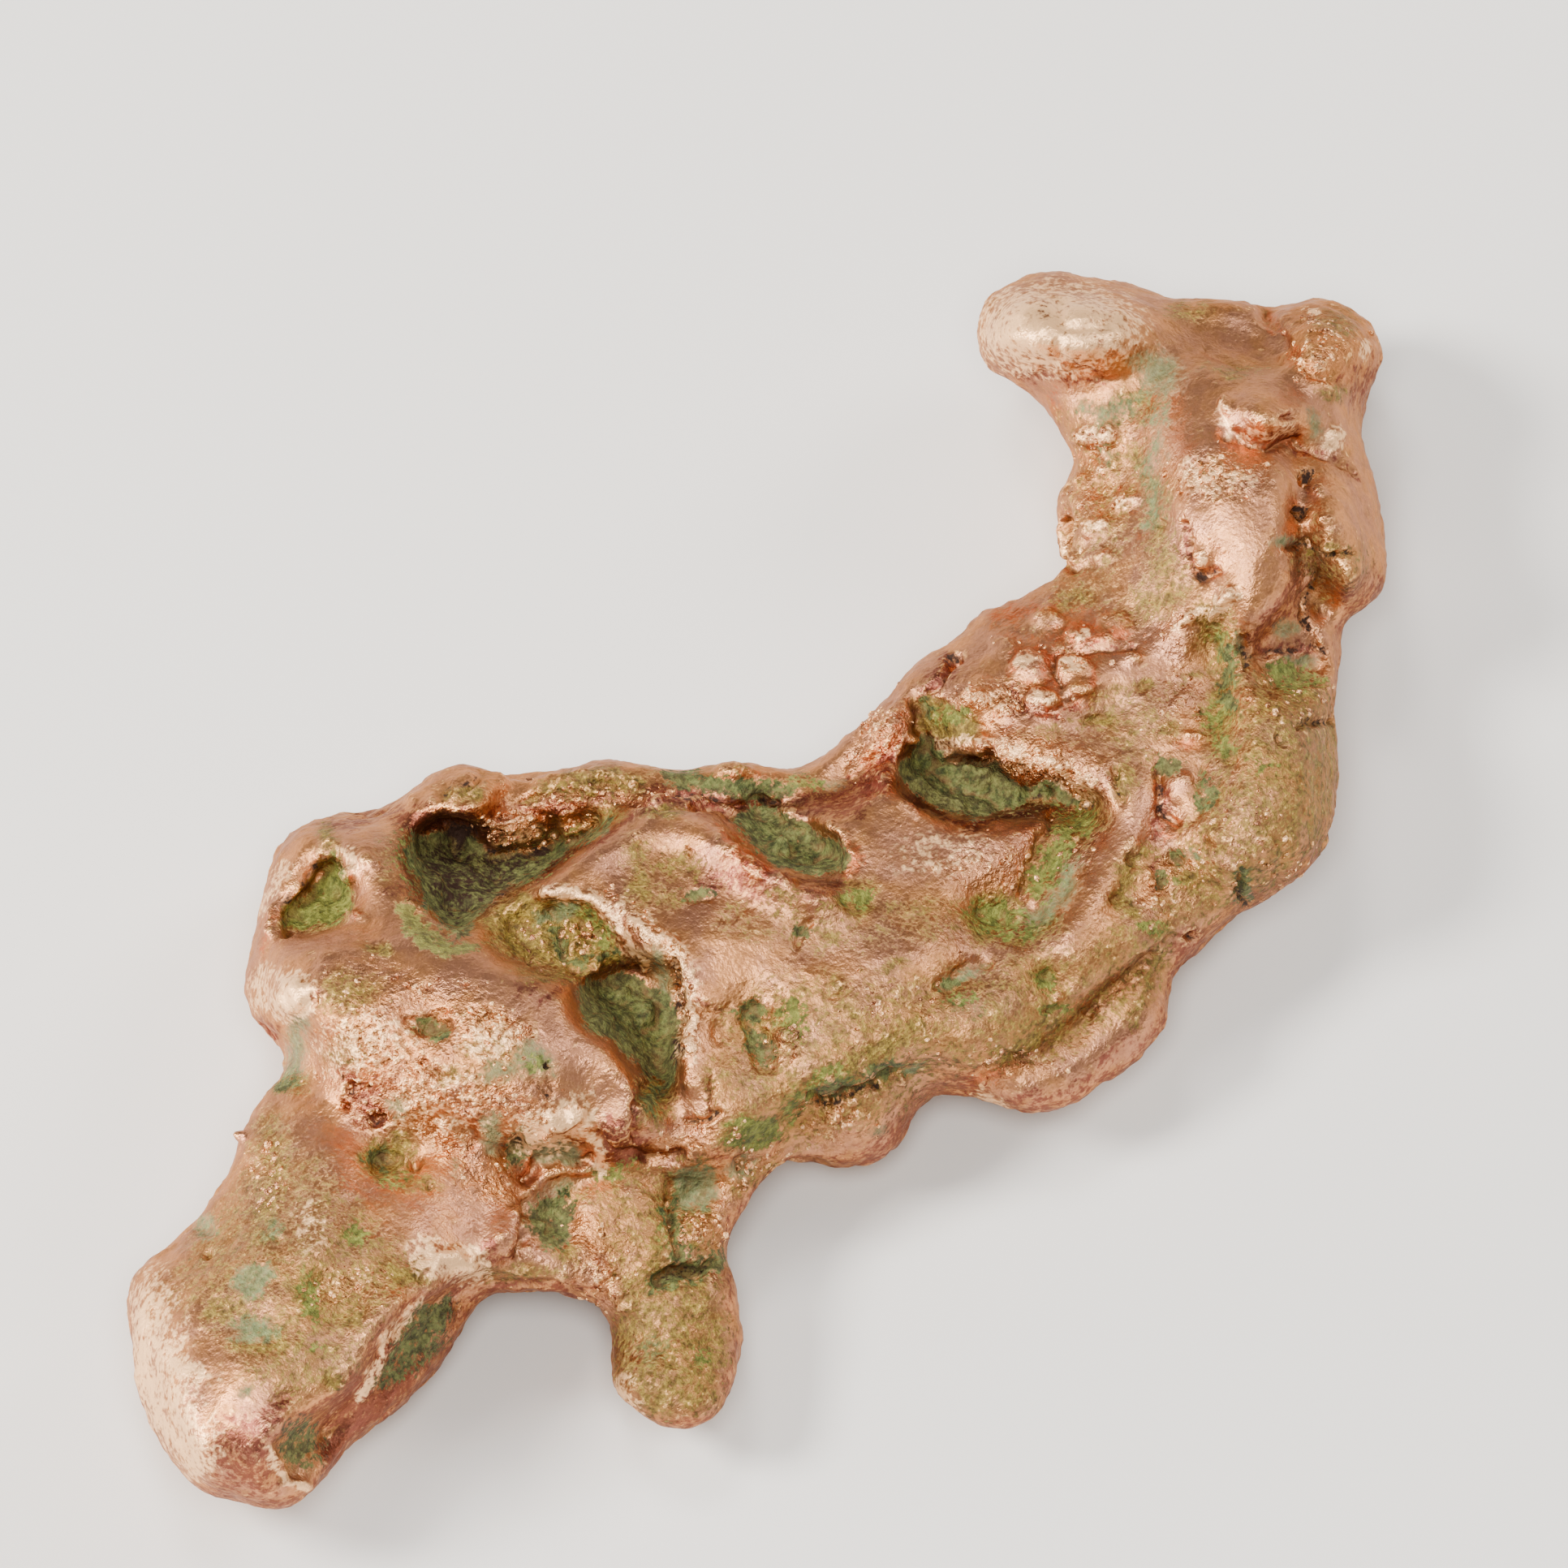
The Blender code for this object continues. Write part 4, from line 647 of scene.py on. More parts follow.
                        (1124, 900))), Oval(0.8, 1060, 1108, 28, 24), Oval(0.5, 1130, 1120, 70, 14),
        Oval(0.6, 965, 1106, 24, 13), Oval(0.78, 1026, 1151, 12, 9), Oval(0.66, 1030, 1216, 20, 16),
        Line(0.85, 9, ((1085, 1198), (1112, 1184))), Oval(0.66, 975, 1256, 38, 46, 15),
        Oval(0.7, 925, 1260, 26, 34, 10),
        Area(0.85, 14, ((905, 1375), (950, 1372), (958, 1405), (930, 1424), (884, 1418), (888, 1395))),
        Line(0.85, 17, ((964, 1378), (990, 1348), (1040, 1322), (1100, 1284), (1130, 1262))),
        Oval(0.72, 1056, 1260, 13, 13), Oval(0.48, 1150, 1240, 40, 28), Oval(0.45, 1090, 1240, 40, 30),
        Line(0.85, 17, ((1236, 1300), (1262, 1284), (1300, 1266))), Oval(0.85, 1298, 1240, 24, 14),
        Oval(0.85, 1288, 1203, 16, 20), Oval(0.55, 1190, 1300, 30, 24),
        Line(0.7, 15, ((1388, 1256), (1400, 1235), (1420, 1205), (1430, 1175))),
        Oval(0.7, 1422, 1142, 32, 16, -8), Oval(0.55, 1372, 1150, 22, 11),
        Line(0.8, 13, ((1404, 1050), (1385, 1085), (1376, 1112), (1398, 1125))),
        Oval(0.78, 1468, 1084, 26, 14), Oval(0.5, 1460, 1115, 38, 30), Oval(0.8, 1532, 1084, 18, 20),
        Oval(0.8, 1388, 965, 17, 28), Oval(0.7, 1512, 975, 18, 14), Oval(0.8, 1512, 915, 18, 26),
        Line(0.95, 20, ((1490, 764), (1505, 800), (1512, 850), (1500, 892))), Oval(0.6, 1575, 935, 46, 40),
        Line(0.6, 24, ((1640, 900), (1638, 960), (1622, 1030))), Oval(0.7, 1605, 852, 32, 14),
        Oval(0.45, 1560, 1010, 34, 30), Oval(0.42, 1580, 1060, 30, 20), Oval(0.8, 1350, 888, 30, 10),
        Oval(0.55, 1388, 900, 20, 16), Oval(0.8, 1412, 843, 17, 9, -20), Oval(0.5, 1375, 856, 38, 13, -20),
        Oval(0.66, 1468, 832, 16, 7, 15), Oval(0.66, 1440, 896, 16, 13), Oval(0.45, 1300, 905, 56, 12),
        Line(0.66, 20, ((1405, 560), (1422, 600), (1425, 660))), Oval(0.62, 1436, 695, 26, 28),
        Oval(0.72, 1330, 738, 36, 14), Oval(0.6, 1430, 735, 54, 26, -20), Oval(0.6, 1378, 570, 17, 20),
        Oval(0.6, 1400, 500, 40, 30), Oval(0.5, 1470, 385, 28, 14), Oval(0.42, 1520, 458, 50, 10),
        Oval(0.5, 1645, 400, 26, 16), Oval(0.62, 1640, 484, 24, 12), Oval(0.7, 1636, 676, 16, 10),
        Oval(0.42, 1660, 700, 34, 30), Oval(0.4, 1622, 690, 34, 64),
        Area(0.66, 14, ((640, 985), (660, 962), (700, 948), (760, 945), (800, 960), (790, 985),
                        (720, 990))), Line(0.5, 10, ((800, 944), (860, 950), (920, 946))),
        Line(0.6, 11, ((620, 1040), (700, 1018), (760, 1002))), Oval(0.9, 572, 980, 26, 13, -15),
        Oval(0.7, 820, 1005, 34, 10), Oval(0.42, 480, 1060, 22, 34),
        Line(0.85, 10, ((398, 1026), (404, 1050))),
        Area(0.9, 10, ((340, 1152), (350, 1112), (384, 1086), (402, 1048), (420, 1062), (438, 1092),
                       (440, 1124), (414, 1146), (380, 1150))), Oval(0.85, 465, 1170, 16, 9),
        Oval(0.7, 425, 1222, 38, 28), Oval(0.62, 556, 1322, 34, 12), Oval(0.6, 598, 1298, 34, 14),
        Oval(0.6, 420, 1300, 26, 16), Oval(0.5, 455, 1213, 28, 12), Oval(0.55, 430, 1290, 26, 16),
        Oval(0.9, 352, 1336, 26, 17), Line(0.7, 24, ((330, 1400), (345, 1440), (325, 1490), (330, 1525))),
        Oval(0.9, 480, 1425, 32, 24, -20), Oval(0.6, 505, 1455, 36, 14), Oval(0.5, 380, 1432, 32, 15),
        Oval(0.66, 430, 1520, 36, 18), Oval(0.8, 495, 1568, 38, 22, 10), Oval(0.66, 470, 1530, 26, 16),
        Oval(0.85, 384, 1590, 24, 42, -10), Oval(0.66, 425, 1620, 42, 30),
        Line(0.8, 12, ((262, 1612), (290, 1612), (350, 1650))),
        Line(0.8, 11, ((290, 1652), (330, 1662), (370, 1655))), Oval(0.5, 285, 1600, 36, 26),
        Oval(0.45, 250, 1560, 40, 28), Oval(0.85, 408, 1703, 15, 16), Oval(0.6, 385, 1665, 18, 12),
        Oval(0.45, 370, 1690, 30, 18), Line(0.78, 20, ((812, 1500), (812, 1550), (806, 1590))),
        Oval(0.48, 770, 1470, 46, 20), Oval(0.6, 650, 1566, 54, 13), Oval(0.6, 700, 1545, 24, 20),
        Oval(0.5, 925, 1455, 40, 14, -30), Oval(0.52, 830, 1645, 40, 60), Oval(0.55, 870, 1700, 24, 34),
        Oval(0.8, 840, 1575, 44, 13, -12), Oval(0.8, 812, 1350, 22, 40), Oval(0.5, 1065, 1375, 20, 11),
        Oval(0.6, 690, 1200, 56, 14), Oval(0.55, 1120, 1320, 40, 20), Oval(0.5, 720, 1480, 30, 20),
        Oval(0.48, 900, 1330, 36, 40),
        Area(0.46, 40, ((880, 1240), (960, 1190), (1100, 1200), (1250, 1170), (1400, 1130), (1450, 1150),
                        (1400, 1260), (1300, 1310), (1180, 1330), (1090, 1390), (980, 1420), (900, 1410))),
        Area(0.52, 30, ((1440, 1130), (1480, 900), (1530, 820), (1640, 850), (1650, 980), (1600, 1080),
                        (1500, 1130))),
        Area(0.6, 20, ((760, 1560), (880, 1540), (900, 1640), (890, 1740), (800, 1750), (750, 1690))),
        Area(0.5, 24, ((300, 1650), (460, 1640), (440, 1700), (360, 1730), (290, 1700))),
        Area(0.46, 30, ((230, 1520), (330, 1400), (420, 1440), (520, 1560), (470, 1640), (380, 1670),
                        (260, 1650), (200, 1600))),
        Area(0.34, 30, ((1290, 500), (1400, 480), (1440, 640), (1380, 740), (1230, 800), (1300, 700))),
        Area(0.42, 30, ((1330, 850), (1480, 830), (1420, 960), (1360, 960))),
        Area(0.46, 24, ((730, 1440), (880, 1420), (890, 1560), (750, 1570))),
        Area(0.36, 24, ((880, 1110), (1200, 1100), (1220, 1160), (1000, 1180), (880, 1160))),
    ),
    # Red-brown wine oxide; some marks below paint shade instead.
    Tint.WINE_AND_SHADE: (
        Line(0.9, 6, ((655, 1084), (700, 1058), (750, 1028), (778, 1004), (803, 1000))),
        Line(1.0, 14, ((500, 1012), (540, 1012), (575, 1018), (600, 1024))),
        Line(0.72, 9, ((404, 1020), (450, 1002), (500, 1002), (540, 1008))),
        Line(0.7, 8, ((494, 1030), (500, 1070), (515, 1105))),
        Line(0.7, 7, ((1036, 1090), (1000, 1090), (960, 1080))),
        Line(0.85, 12, ((790, 976), (850, 985), (920, 994), (950, 988))),
        Line(0.7, 8, ((820, 996), (880, 1002), (900, 1010))), Oval(0.7, 742, 966, 24, 8),
        Oval(1.0, 1080, 970, 24, 14, -20),
        Line(0.8, 7, ((1112, 985), (1160, 1008), (1200, 1015), (1250, 1005), (1330, 1000))),
        Line(0.85, 10, ((1176, 812), (1160, 838), (1140, 856), (1128, 880))),
        # Painted shade between the pebbles.
        Line(0.55, 6, ((1300, 806), (1345, 800), (1400, 792))),
        Line(0.6, 6, ((1248, 850), (1262, 874), (1300, 886), (1324, 866))),
        Line(0.55, 5, ((1596, 552), (1645, 570), (1672, 588))),
        Line(0.4, 6, ((1612, 590), (1606, 640), (1620, 700), (1602, 750))),
        Line(0.7, 8, ((1456, 648), (1464, 690), (1482, 716), (1500, 706))),
        Line(0.72, 9, ((1532, 790), (1560, 802), (1606, 800))),
        Line(0.75, 8, ((1424, 940), (1430, 1000), (1425, 1040))),
        Line(0.6, 9, ((1405, 1040), (1420, 1060), (1424, 1095))),
        Line(0.85, 8, ((985, 1442), (1040, 1442), (1080, 1430))),
        Line(0.66, 9, ((1110, 1362), (1150, 1345), (1190, 1338))),
        Area(0.95, 9, ((735, 1395), (750, 1370), (790, 1400), (800, 1432), (760, 1438), (742, 1425))),
        Line(0.9, 8, ((790, 1345), (786, 1375), (790, 1405))),
        Line(0.6, 8, ((800, 1430), (850, 1428), (900, 1430))),
        Line(0.9, 6, ((600, 1582), (660, 1580), (700, 1590))), Oval(0.8, 602, 1552, 18, 22, 20),
        Line(0.7, 8, ((765, 1725), (800, 1745), (850, 1752))),
        Line(0.7, 8, ((760, 1620), (758, 1660), (752, 1690))),
        Area(0.66, 16, ((300, 1772), (325, 1764), (338, 1800), (334, 1845), (308, 1845))),
        Line(0.7, 8, ((340, 1745), (385, 1745), (430, 1735), (450, 1722))),
        # Painted shade on the tail's side face.
        Area(0.95, 12, ((390, 1775), (440, 1728), (500, 1692), (562, 1620), (580, 1595), (500, 1720),
                        (430, 1790), (400, 1820))),
        Area(0.7, 30, ((270, 1740), (330, 1730), (345, 1840), (300, 1845), (240, 1800))),
        Area(0.4, 30, ((780, 1600), (880, 1580), (890, 1720), (790, 1730))),
        # Painted shade on the tail's side face.
        Area(0.8, 14, ((410, 1700), (440, 1690), (520, 1610), (575, 1590), (560, 1660), (480, 1730),
                       (400, 1800))), Oval(0.95, 352, 1722, 20, 11, -35), Oval(0.9, 471, 1636, 8, 7),
        Line(0.8, 16, ((428, 1320), (436, 1345), (462, 1345), (466, 1385))),
        Line(0.7, 9, ((640, 1213), (700, 1205), (745, 1200), (780, 1196))),
        Line(0.7, 7, ((666, 1240), (690, 1228))), Oval(0.7, 330, 1264, 13, 11), Oval(0.8, 384, 1230, 9, 11),
        Line(0.66, 9, ((470, 1095), (500, 1090), (520, 1110))),
        Line(0.66, 8, ((1240, 456), (1300, 464), (1350, 462))), Oval(0.6, 1004, 1130, 8, 6),
        Oval(0.72, 945, 1236, 11, 6), Line(0.7, 5, ((862, 1234), (893, 1247))),
        Line(0.66, 6, ((872, 1330), (880, 1352), (876, 1368))),
        Line(0.7, 8, ((1340, 1246), (1380, 1212), (1420, 1184), (1474, 1148))),
        Line(0.66, 7, ((1290, 1015), (1280, 1045), (1268, 1080))),
        Line(0.6, 7, ((1230, 1322), (1262, 1306))),
        Area(0.64, 12, ((600, 996), (700, 962), (800, 960), (960, 984), (1060, 960), (1110, 900),
                        (1120, 930), (1060, 1010), (960, 1010), (900, 1012), (790, 998), (700, 1010))),
        Line(0.6, 7, ((1440, 1170), (1400, 1260), (1330, 1340), (1230, 1362))),
        Line(0.6, 7, ((1100, 1420), (1040, 1445), (960, 1440))),
        Line(0.6, 7, ((895, 1560), (905, 1640), (895, 1720), (840, 1752))),
        # Painted shade darkening the crest's lit slope.
        Area(0.6, 30, ((800, 1040), (900, 1050), (1040, 1100), (1040, 1130), (960, 1130), (860, 1110),
                       (790, 1080))),
    ),
    Tint.RUST: (
        Area(0.9, 9, ((885, 1022), (905, 1028), (940, 1055), (962, 1076), (950, 1088), (918, 1068))),
        Line(0.8, 9, ((1046, 1040), (1052, 1066), (1046, 1082))), Oval(0.85, 905, 951, 38, 9),
        Area(0.66, 14, ((1050, 985), (1062, 932), (1095, 884), (1112, 884), (1108, 925), (1112, 985))),
        Line(0.75, 6, ((1245, 838), (1252, 808), (1275, 796), (1292, 812), (1286, 840), (1262, 846))),
        Line(0.8, 6, ((1302, 816), (1330, 806), (1352, 818), (1346, 838))),
        Area(0.7, 12, ((1285, 770), (1320, 764), (1400, 765), (1398, 790), (1345, 798), (1300, 800))),
        Line(0.6, 9, ((1290, 882), (1320, 862), (1340, 862))),
        Line(0.7, 8, ((1230, 760), (1270, 752), (1300, 745))),
        Line(0.66, 6, ((1520, 534), (1545, 543), (1570, 546), (1592, 541))), Oval(0.5, 1550, 553, 26, 6),
        Line(0.7, 9, ((1565, 372), (1570, 400))), Oval(0.6, 1600, 432, 18, 16),
        Line(0.66, 8, ((1296, 490), (1312, 540), (1330, 570))), Oval(0.8, 1345, 562, 8, 6),
        Oval(0.7, 1305, 700, 12, 8), Oval(0.6, 1465, 918, 26, 10), Oval(0.62, 1440, 1030, 16, 11),
        Oval(1.0, 1305, 1229, 8, 7), Oval(0.66, 1374, 1210, 34, 16, -38),
        Line(0.8, 11, ((1196, 1336), (1216, 1322), (1248, 1312))), Oval(0.5, 1280, 1286, 24, 13),
        Oval(0.62, 860, 1520, 26, 18, -20), Oval(0.45, 1000, 1384, 20, 13), Oval(0.85, 787, 1040, 5, 7),
        Oval(0.7, 848, 1052, 4, 6), Oval(0.85, 428, 1082, 9, 8), Oval(0.66, 440, 1132, 11, 9),
        Oval(0.6, 556, 1147, 16, 6), Line(0.75, 7, ((728, 1192), (750, 1196))), Oval(0.7, 770, 1182, 8, 7),
        Oval(0.5, 380, 1225, 12, 12), Oval(0.6, 330, 1265, 10, 8),
        Line(0.5, 8, ((330, 1125), (334, 1150), (326, 1180))), Oval(0.42, 1540, 872, 30, 12),
        Line(0.6, 7, ((500, 1060), (508, 1085))),
        Area(0.5, 14, ((620, 990), (760, 962), (900, 975), (1050, 960), (1050, 990), (900, 1000),
                       (760, 990))),
    ),
    Tint.AMBER: (
        Area(0.9, 14, ((1588, 384), (1620, 370), (1678, 384), (1696, 430), (1686, 476), (1640, 474),
                       (1600, 453))), Oval(0.85, 1500, 378, 44, 10), Oval(0.3, 1355, 464, 30, 10),
        Oval(0.4, 1490, 468, 30, 8), Oval(0.9, 598, 982, 18, 26), Line(0.9, 8, ((400, 1026), (404, 1050))),
        Oval(0.8, 594, 1150, 10, 22), Oval(0.7, 1512, 975, 16, 11), Oval(0.6, 1300, 700, 34, 18),
        Oval(0.6, 1340, 560, 30, 18), Oval(0.55, 770, 1530, 56, 54), Oval(0.72, 930, 1455, 54, 18, -30),
        Oval(0.5, 870, 1400, 54, 24), Oval(0.45, 1100, 1240, 80, 40), Oval(0.6, 1230, 1315, 46, 18),
        Oval(0.55, 1415, 1215, 34, 34), Oval(0.5, 1240, 1095, 46, 22), Oval(0.6, 700, 975, 56, 18),
        Oval(0.7, 850, 1640, 44, 90), Oval(0.4, 260, 1590, 66, 44), Oval(0.42, 1480, 1050, 60, 60),
        Oval(0.6, 1600, 870, 50, 20), Oval(0.45, 1230, 760, 40, 30),
        Area(0.5, 20, ((1280, 480), (1400, 520), (1400, 640), (1300, 690), (1290, 620), (1320, 570))),
        Oval(0.5, 640, 1170, 40, 14),
        Area(0.6, 30, ((390, 1200), (480, 1195), (600, 1240), (680, 1330), (690, 1400), (620, 1480),
                       (540, 1480), (480, 1400), (400, 1380), (380, 1300))),
    ),
    Tint.MAUVE: (
        Area(0.6, 26, ((700, 1065), (770, 1010), (880, 1045), (960, 1085), (1040, 1095), (1050, 1150),
                       (960, 1170), (880, 1150), (790, 1120), (740, 1095))),
        Area(0.62, 24, ((1060, 1010), (1160, 1020), (1280, 1005), (1270, 1060), (1200, 1110),
                        (1080, 1080))),
        Line(0.66, 24, ((1000, 1165), (1100, 1170), (1180, 1150), (1300, 1170), (1330, 1130))),
        Area(0.66, 18, ((1360, 1000), (1425, 975), (1425, 1030), (1380, 1065), (1345, 1120), (1330, 1060))),
        Oval(0.55, 1400, 885, 34, 60, 10), Oval(0.5, 1250, 800, 50, 50),
        Area(0.5, 24, ((1440, 600), (1500, 560), (1600, 560), (1600, 700), (1540, 740), (1500, 700),
                       (1450, 640))),
        Area(0.85, 16, ((1510, 455), (1590, 455), (1660, 500), (1680, 560), (1640, 520), (1560, 490))),
        Oval(0.7, 1450, 520, 60, 70), Oval(0.6, 1490, 420, 60, 26),
        Line(0.66, 16, ((1440, 760), (1390, 790), (1350, 815))), Oval(0.8, 1456, 968, 20, 20),
        Oval(0.5, 1560, 985, 54, 30), Oval(0.85, 640, 1232, 44, 18, 10),
        Area(0.9, 12, ((545, 1505), (640, 1492), (636, 1545), (600, 1548), (560, 1535))),
        Area(0.7, 20, ((350, 1440), (440, 1405), (450, 1480), (400, 1560), (350, 1560))),
        Line(0.75, 20, ((400, 1030), (450, 1040), (470, 1090), (490, 1150), (560, 1190), (640, 1210))),
        Line(0.7, 18, ((345, 1170), (400, 1165), (460, 1180))), Oval(0.8, 700, 1300, 54, 44, 40),
        Oval(0.5, 760, 1370, 30, 34), Oval(0.55, 320, 1680, 84, 20, 10), Oval(0.5, 450, 1660, 46, 26),
        Line(0.55, 18, ((1215, 1355), (1300, 1350), (1390, 1300), (1435, 1230))),
        Oval(0.6, 1360, 1290, 56, 20, -30), Oval(0.5, 1070, 1400, 46, 24), Oval(0.5, 800, 1700, 46, 34),
    ),
    # Near-black: painted shade in cracks, holes, undercut walls and the basin, partly dark grime.
    Tint.GRIME_AND_SHADE: (
        Area(0.52, 20, ((510, 1040), (600, 1050), (680, 1055), (620, 1100), (560, 1140), (520, 1100))),
        Area(0.85, 12, ((542, 1016), (562, 1012), (586, 1018), (590, 1028), (576, 1040), (570, 1060),
                        (562, 1058), (556, 1044), (546, 1032))),
        Line(0.7, 4, ((602, 1050), (625, 1045), (650, 1053), (672, 1046))),
        Line(0.6, 4, ((545, 1116), (600, 1106), (625, 1098))),
        Line(0.78, 5, ((832, 1192), (837, 1215), (837, 1242))),
        Line(0.78, 5, ((828, 1278), (838, 1292), (833, 1308))), Oval(0.85, 951, 991, 11, 5),
        Line(0.62, 4, ((830, 977), (870, 982), (910, 992))), Oval(0.85, 1173, 813, 9, 8),
        Oval(0.85, 1338, 992, 11, 5), Oval(0.6, 1276, 985, 9, 4),
        Line(0.6, 3, ((1372, 950), (1378, 968), (1383, 986))),
        Line(0.62, 4, ((1430, 975), (1438, 1000), (1452, 1011))),
        Line(0.8, 4, ((1533, 790), (1536, 804), (1540, 818))),
        Line(0.55, 6, ((1607, 756), (1612, 780), (1630, 806))), Line(0.6, 4, ((1560, 804), (1602, 799))),
        Oval(0.95, 1612, 590, 8, 9), Oval(0.95, 1604, 631, 9, 8),
        Line(0.6, 4, ((1598, 674), (1612, 667), (1626, 684), (1646, 689))),
        Line(0.62, 3, ((1658, 685), (1672, 683))), Line(0.55, 5, ((1621, 706), (1613, 728), (1603, 746))),
        Line(0.72, 5, ((1468, 702), (1482, 715), (1496, 708))),
        Line(0.6, 4, ((1602, 896), (1616, 889), (1641, 887))), Oval(0.6, 1571, 911, 5, 9, -18),
        Line(0.72, 4, ((1530, 1092), (1532, 1102), (1537, 1116))), Oval(0.8, 1470, 1152, 9, 5, -30),
        Line(0.72, 4, ((1006, 1354), (1030, 1361), (1044, 1349), (1064, 1341), (1084, 1337))),
        Line(0.66, 4, ((848, 1379), (862, 1377), (882, 1370))),
        Line(0.62, 4, ((816, 1577), (834, 1566), (858, 1571), (880, 1558))), Oval(0.9, 675, 1311, 6, 6),
        Line(0.66, 3, ((657, 1331), (674, 1352))), Line(0.66, 4, ((388, 1070), (368, 1096), (350, 1112))),
        Line(0.66, 3, ((545, 978), (562, 969), (592, 959))), Oval(0.6, 434, 1345, 6, 7),
        Oval(0.6, 464, 1382, 6, 5), Oval(0.6, 528, 1461, 5, 4), Oval(0.6, 342, 1526, 5, 4),
        Oval(0.6, 636, 1408, 7, 8),
    ),
    # Burnish: partly rubbed bright metal, partly painted highlight where the lamps catch the horn, the tail's
    # left rim and other crests.
    Tint.BURNISH_HIGHLIGHT: (
        Oval(1.0, 1268, 384, 26, 18), Oval(1.0, 1330, 390, 34, 13), Oval(1.0, 1288, 420, 14, 24),
        Oval(1.0, 1330, 430, 26, 13), Oval(0.85, 1376, 404, 16, 24), Oval(0.85, 1230, 410, 22, 30),
        Oval(0.95, 1300, 405, 96, 52), Oval(0.42, 1160, 1050, 62, 30),
        Line(0.9, 17, ((176, 1620), (178, 1690), (200, 1760), (240, 1805))),
        Oval(0.8, 225, 1684, 42, 14, 15), Line(0.72, 30, ((186, 1600), (196, 1700), (236, 1786))),
        Line(0.95, 7, ((678, 1097), (705, 1100), (735, 1107), (755, 1130), (772, 1160), (790, 1192))),
        Line(0.72, 11, ((755, 1116), (795, 1142), (832, 1166), (846, 1200), (851, 1250), (845, 1300))),
        Oval(1.0, 361, 1224, 26, 28), Oval(0.7, 345, 1240, 26, 20),
        Line(0.7, 12, ((325, 1200), (320, 1240))), Line(1.0, 22, ((656, 1396), (680, 1388), (712, 1374))),
        Line(0.75, 8, ((716, 1390), (738, 1410), (742, 1440))),
        Line(1.0, 17, ((524, 1546), (560, 1549), (580, 1562))),
        Line(0.72, 7, ((512, 1606), (482, 1646), (463, 1688), (448, 1722))),
        Line(0.9, 6, ((333, 1788), (338, 1808), (352, 1822), (374, 1832))),
        Line(0.85, 12, ((1245, 928), (1280, 938), (1310, 952), (1338, 975))),
        Line(1.0, 9, ((1498, 758), (1513, 735))), Line(0.85, 7, ((1452, 774), (1480, 752))),
        Oval(0.72, 1265, 814, 14, 10), Oval(0.9, 1326, 820, 16, 9), Oval(0.8, 1330, 780, 12, 9),
        Oval(0.75, 1285, 862, 16, 8), Oval(0.66, 1220, 862, 26, 8), Oval(0.72, 1480, 588, 28, 22),
        Oval(0.6, 1520, 592, 30, 12), Oval(0.85, 1641, 542, 12, 16, 20), Oval(0.72, 1334, 538, 15, 10),
        Oval(0.72, 1362, 536, 11, 12), Oval(0.72, 1352, 650, 18, 8), Oval(0.62, 1308, 680, 8, 20),
        Oval(0.66, 1386, 618, 14, 8), Oval(0.85, 640, 1022, 26, 12), Oval(0.9, 778, 966, 7, 6),
        Line(0.75, 8, ((772, 1700), (762, 1716), (785, 1738))), Oval(0.6, 430, 1060, 22, 14, 40),
        Line(0.55, 8, ((326, 1120), (336, 1090), (355, 1068))), Line(0.66, 7, ((1205, 1350), (1232, 1362))),
        Oval(0.66, 1614, 383, 9, 6), Oval(0.66, 1682, 430, 7, 12), Oval(0.45, 380, 1510, 22, 36, -10),
        Oval(0.55, 450, 1285, 60, 34, -10), Oval(0.55, 600, 1280, 36, 24, 10),
        Oval(0.45, 540, 1360, 60, 44), Line(0.6, 6, ((1160, 918), (1190, 912), (1216, 916))),
        Oval(0.66, 1480, 692, 7, 8), Line(0.7, 6, ((1506, 498), (1512, 520))),
        Line(0.6, 5, ((1520, 534), (1556, 534), (1596, 530))),
    ),
    Tint.GLITTER: (
        Area(0.42, 26, ((380, 1240), (470, 1215), (560, 1225), (640, 1255), (700, 1350), (690, 1400),
                        (640, 1470), (560, 1480), (500, 1400), (430, 1380), (380, 1330))),
        Oval(0.8, 430, 1236, 34, 20, 20), Oval(1.0, 455, 1282, 46, 24, 15),
        Oval(1.0, 512, 1332, 30, 34, 10), Oval(1.0, 612, 1266, 44, 24, 20),
        Oval(1.0, 596, 1356, 52, 22, 10), Oval(0.9, 655, 1372, 30, 20, -20),
        Oval(0.9, 548, 1402, 44, 22, 25), Oval(0.8, 450, 1350, 30, 34, 10),
        Oval(0.7, 600, 1456, 38, 18, 35), Oval(0.7, 460, 1200, 60, 20, 8), Oval(0.6, 540, 1225, 60, 22),
        Oval(0.95, 640, 1022, 44, 24), Oval(0.85, 716, 1012, 30, 16), Oval(0.75, 720, 978, 90, 22),
        Line(0.9, 30, ((1240, 925), (1330, 960))), Oval(0.8, 1225, 862, 60, 22),
        Oval(0.72, 1500, 585, 64, 34), Oval(0.8, 740, 1560, 46, 56), Oval(0.72, 430, 1590, 56, 30),
        Oval(0.55, 330, 1450, 30, 56), Oval(0.55, 1230, 1070, 66, 36), Oval(0.6, 1320, 1050, 30, 30),
        Oval(0.7, 970, 1280, 28, 24), Oval(0.8, 690, 1160, 60, 28), Oval(0.85, 860, 1518, 32, 28),
        Oval(0.6, 1030, 1385, 46, 28), Oval(0.6, 1640, 425, 54, 46), Oval(0.72, 1080, 905, 30, 54, 30),
        Oval(0.6, 1440, 1090, 56, 46), Line(0.5, 24, ((1440, 770), (1460, 850), (1430, 900))),
        Line(0.7, 16, ((752, 1112), (800, 1150), (842, 1200), (845, 1280))), Oval(0.3, 1300, 820, 70, 60),
        Oval(0.5, 1340, 600, 50, 80), Oval(0.66, 930, 1450, 60, 30, -30), Oval(0.6, 870, 1400, 60, 30),
        Oval(0.5, 1110, 1250, 90, 50), Oval(0.6, 1240, 1310, 60, 24), Oval(0.42, 1540, 1040, 80, 60),
        Oval(0.5, 1580, 860, 60, 30),
    ),
}


